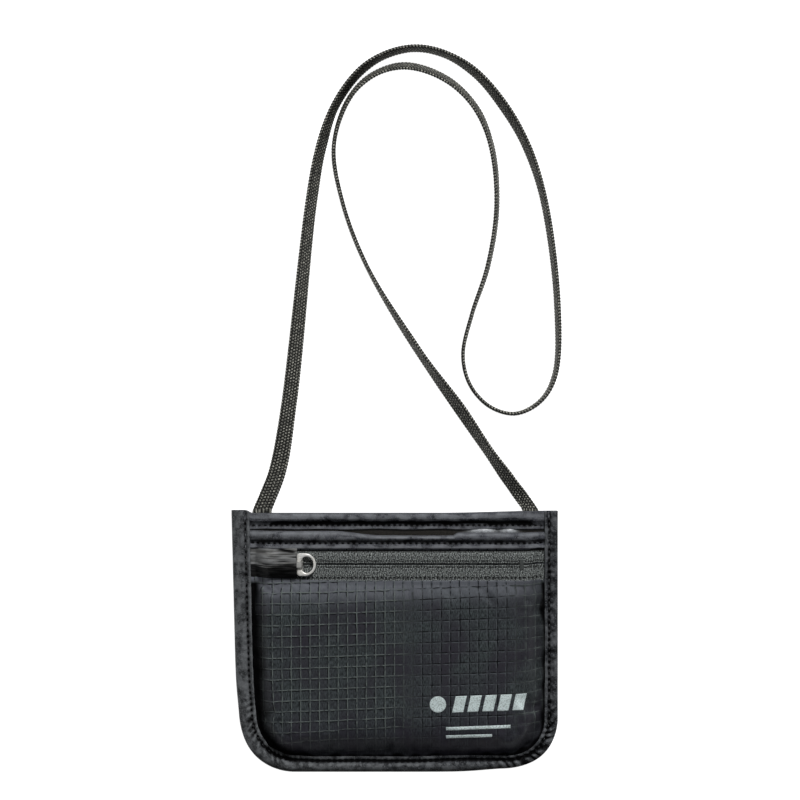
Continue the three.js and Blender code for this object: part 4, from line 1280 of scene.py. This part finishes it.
def make_ring():
    """A flat D-shaped ring with rounded edges, hinged on its straight side."""
    middle = (RING_LOW + RING_HIGH) / 2 + np.array([0.15, 0, 0])
    angle = np.linspace(0, math.tau, 121)[:-1]
    half = (RING_HIGH[1] - RING_LOW[1]) / 2
    outer = d_outline(angle, half, RING_LOW[0] - middle[0], RING_HIGH[0] - middle[0])
    hole = 1 / np.sqrt((np.cos(angle) / 2.85) ** 2 + (np.sin(angle) / (half - 1.4)) ** 2)
    section = np.linspace(0, math.tau, 25)[:-1]
    wide = np.sign(np.cos(section)) * np.abs(np.cos(section)) ** 0.6
    tall = np.sign(np.sin(section)) * np.abs(np.sin(section)) ** 0.6
    radius = (outer + hole)[:, None] / 2 + (outer - hole)[:, None] / 2 * wide[None]
    height = (RING_HIGH[2] - RING_LOW[2]) / 2 * tall[None] + 0 * radius
    points = middle + np.stack([
        radius * np.cos(angle)[:, None], radius * np.sin(angle)[:, None], height,
    ], axis=-1)
    looped = np.concatenate([points, points[:1]])
    faces = grid_faces(len(looped), len(section), wrap=True)
    count = len(angle) * len(section)
    faces = [[corner % count for corner in face] for face in faces]
    piece = add_mesh("pull_ring_metal", points, faces, RING_METAL)
    finish_piece(piece, "pull", "metal", "zip_pull_ring")


def make_slider():
    """The slider, with the end of its crown thinned so that it hardly shows inside the ring."""
    piece = bevelled_copy("zip_slider", "zip_slider_metal", 0.1, SLIDER_METAL)
    crown_foot = (RING_LOW[2] - 0.4) * MM
    thinned_end = (SLIDER_TAIL - 0.52) * MM
    for vertex in piece.data.vertices:
        if vertex.co.x > thinned_end and vertex.co.z > crown_foot:
            vertex.co.x = thinned_end
    finish_piece(piece, "slider", "metal", "zip_slider")


# ---- Print --------------------------------------------------------------------------------

PRINT_LIFT = 0.12
PRINT_SLOPE = 0.035  # the row of blocks rises this much for its length


def on_panel(panel, x, y):
    """Points just over the front panel at plan places."""
    rows = panel[:, 0, 1]
    row = np.interp(y, panel[:, panel.shape[1] // 2, 1], np.arange(len(rows)))
    share = (x - across_pouch(y, 0.0)) / (across_pouch(y, 1.0) - across_pouch(y, 0.0))
    column = share * (panel.shape[1] - 1)
    i, j = np.floor(row).astype(int), np.floor(column).astype(int)
    s, t = row - i, column - j
    z = (
        panel[i, j, 2] * (1 - s) * (1 - t) + panel[i + 1, j, 2] * s * (1 - t)
        + panel[i, j + 1, 2] * (1 - s) * t + panel[i + 1, j + 1, 2] * s * t
    )
    return np.stack([x, y, z + PANEL_THICKNESS / 2 + PRINT_LIFT], axis=-1)


def print_bar(panel, start, end, thickness):
    """A printed bar from one place to another."""
    steps = max(int(abs(end[0] - start[0]) / 0.4), 3)
    along = np.linspace(0, 1, steps)[:, None]
    side = np.linspace(-0.5, 0.5, 4)[None]
    x = lerp(start[0], end[0], along) + 0 * side
    y = lerp(start[1], end[1], along) + side * thickness
    return on_panel(panel, x, y)


def print_block(panel, corner, width, height, lean):
    """A printed block that leans to the right."""
    along = np.linspace(0, 1, 14)[:, None]
    up = np.linspace(0, 1, 18)[None]
    x = corner[0] + width * along + lean * up
    y = corner[1] + height * up + PRINT_SLOPE * width * along
    return on_panel(panel, x, y)


def print_disc(panel, centre, size):
    angle = np.linspace(0, math.tau, 49)[:, None]
    radius = np.linspace(0.05, size, 9)[None]
    return on_panel(panel, centre[0] + radius * np.cos(angle), centre[1] + radius * np.sin(angle))


def make_print(panel):
    """A generic mark: a row of leaning blocks with a plain disc, and two thin lines under it."""
    shapes = [
        print_disc(panel, (19.0, -26.6), 3.6),
        print_bar(panel, (22.6, -37.3), (50.8, -36.3), 1.5),
        print_bar(panel, (22.6, -41.0), (42.8, -40.3), 1.3),
    ]
    for number in range(5):
        along = 6.6 * number
        corner = (25.2 + along, -30.2 + PRINT_SLOPE * along)
        shapes.append(print_block(panel, corner, width=4.9, height=7.2, lean=1.6))
    for number, shape in enumerate(shapes):
        mark = add_sheet(f"print_mark_{number:02d}", shape, 0.05, INK, shape)
        finish_piece(mark, "pouch", "nylon_shell")


make_strap()
make_edge_binding()
make_edge_stitches()
make_top_bindings()
make_inner_panels()
front_panel = make_front_panel()
make_zip()
make_slider()
make_ring()
make_print(front_panel)
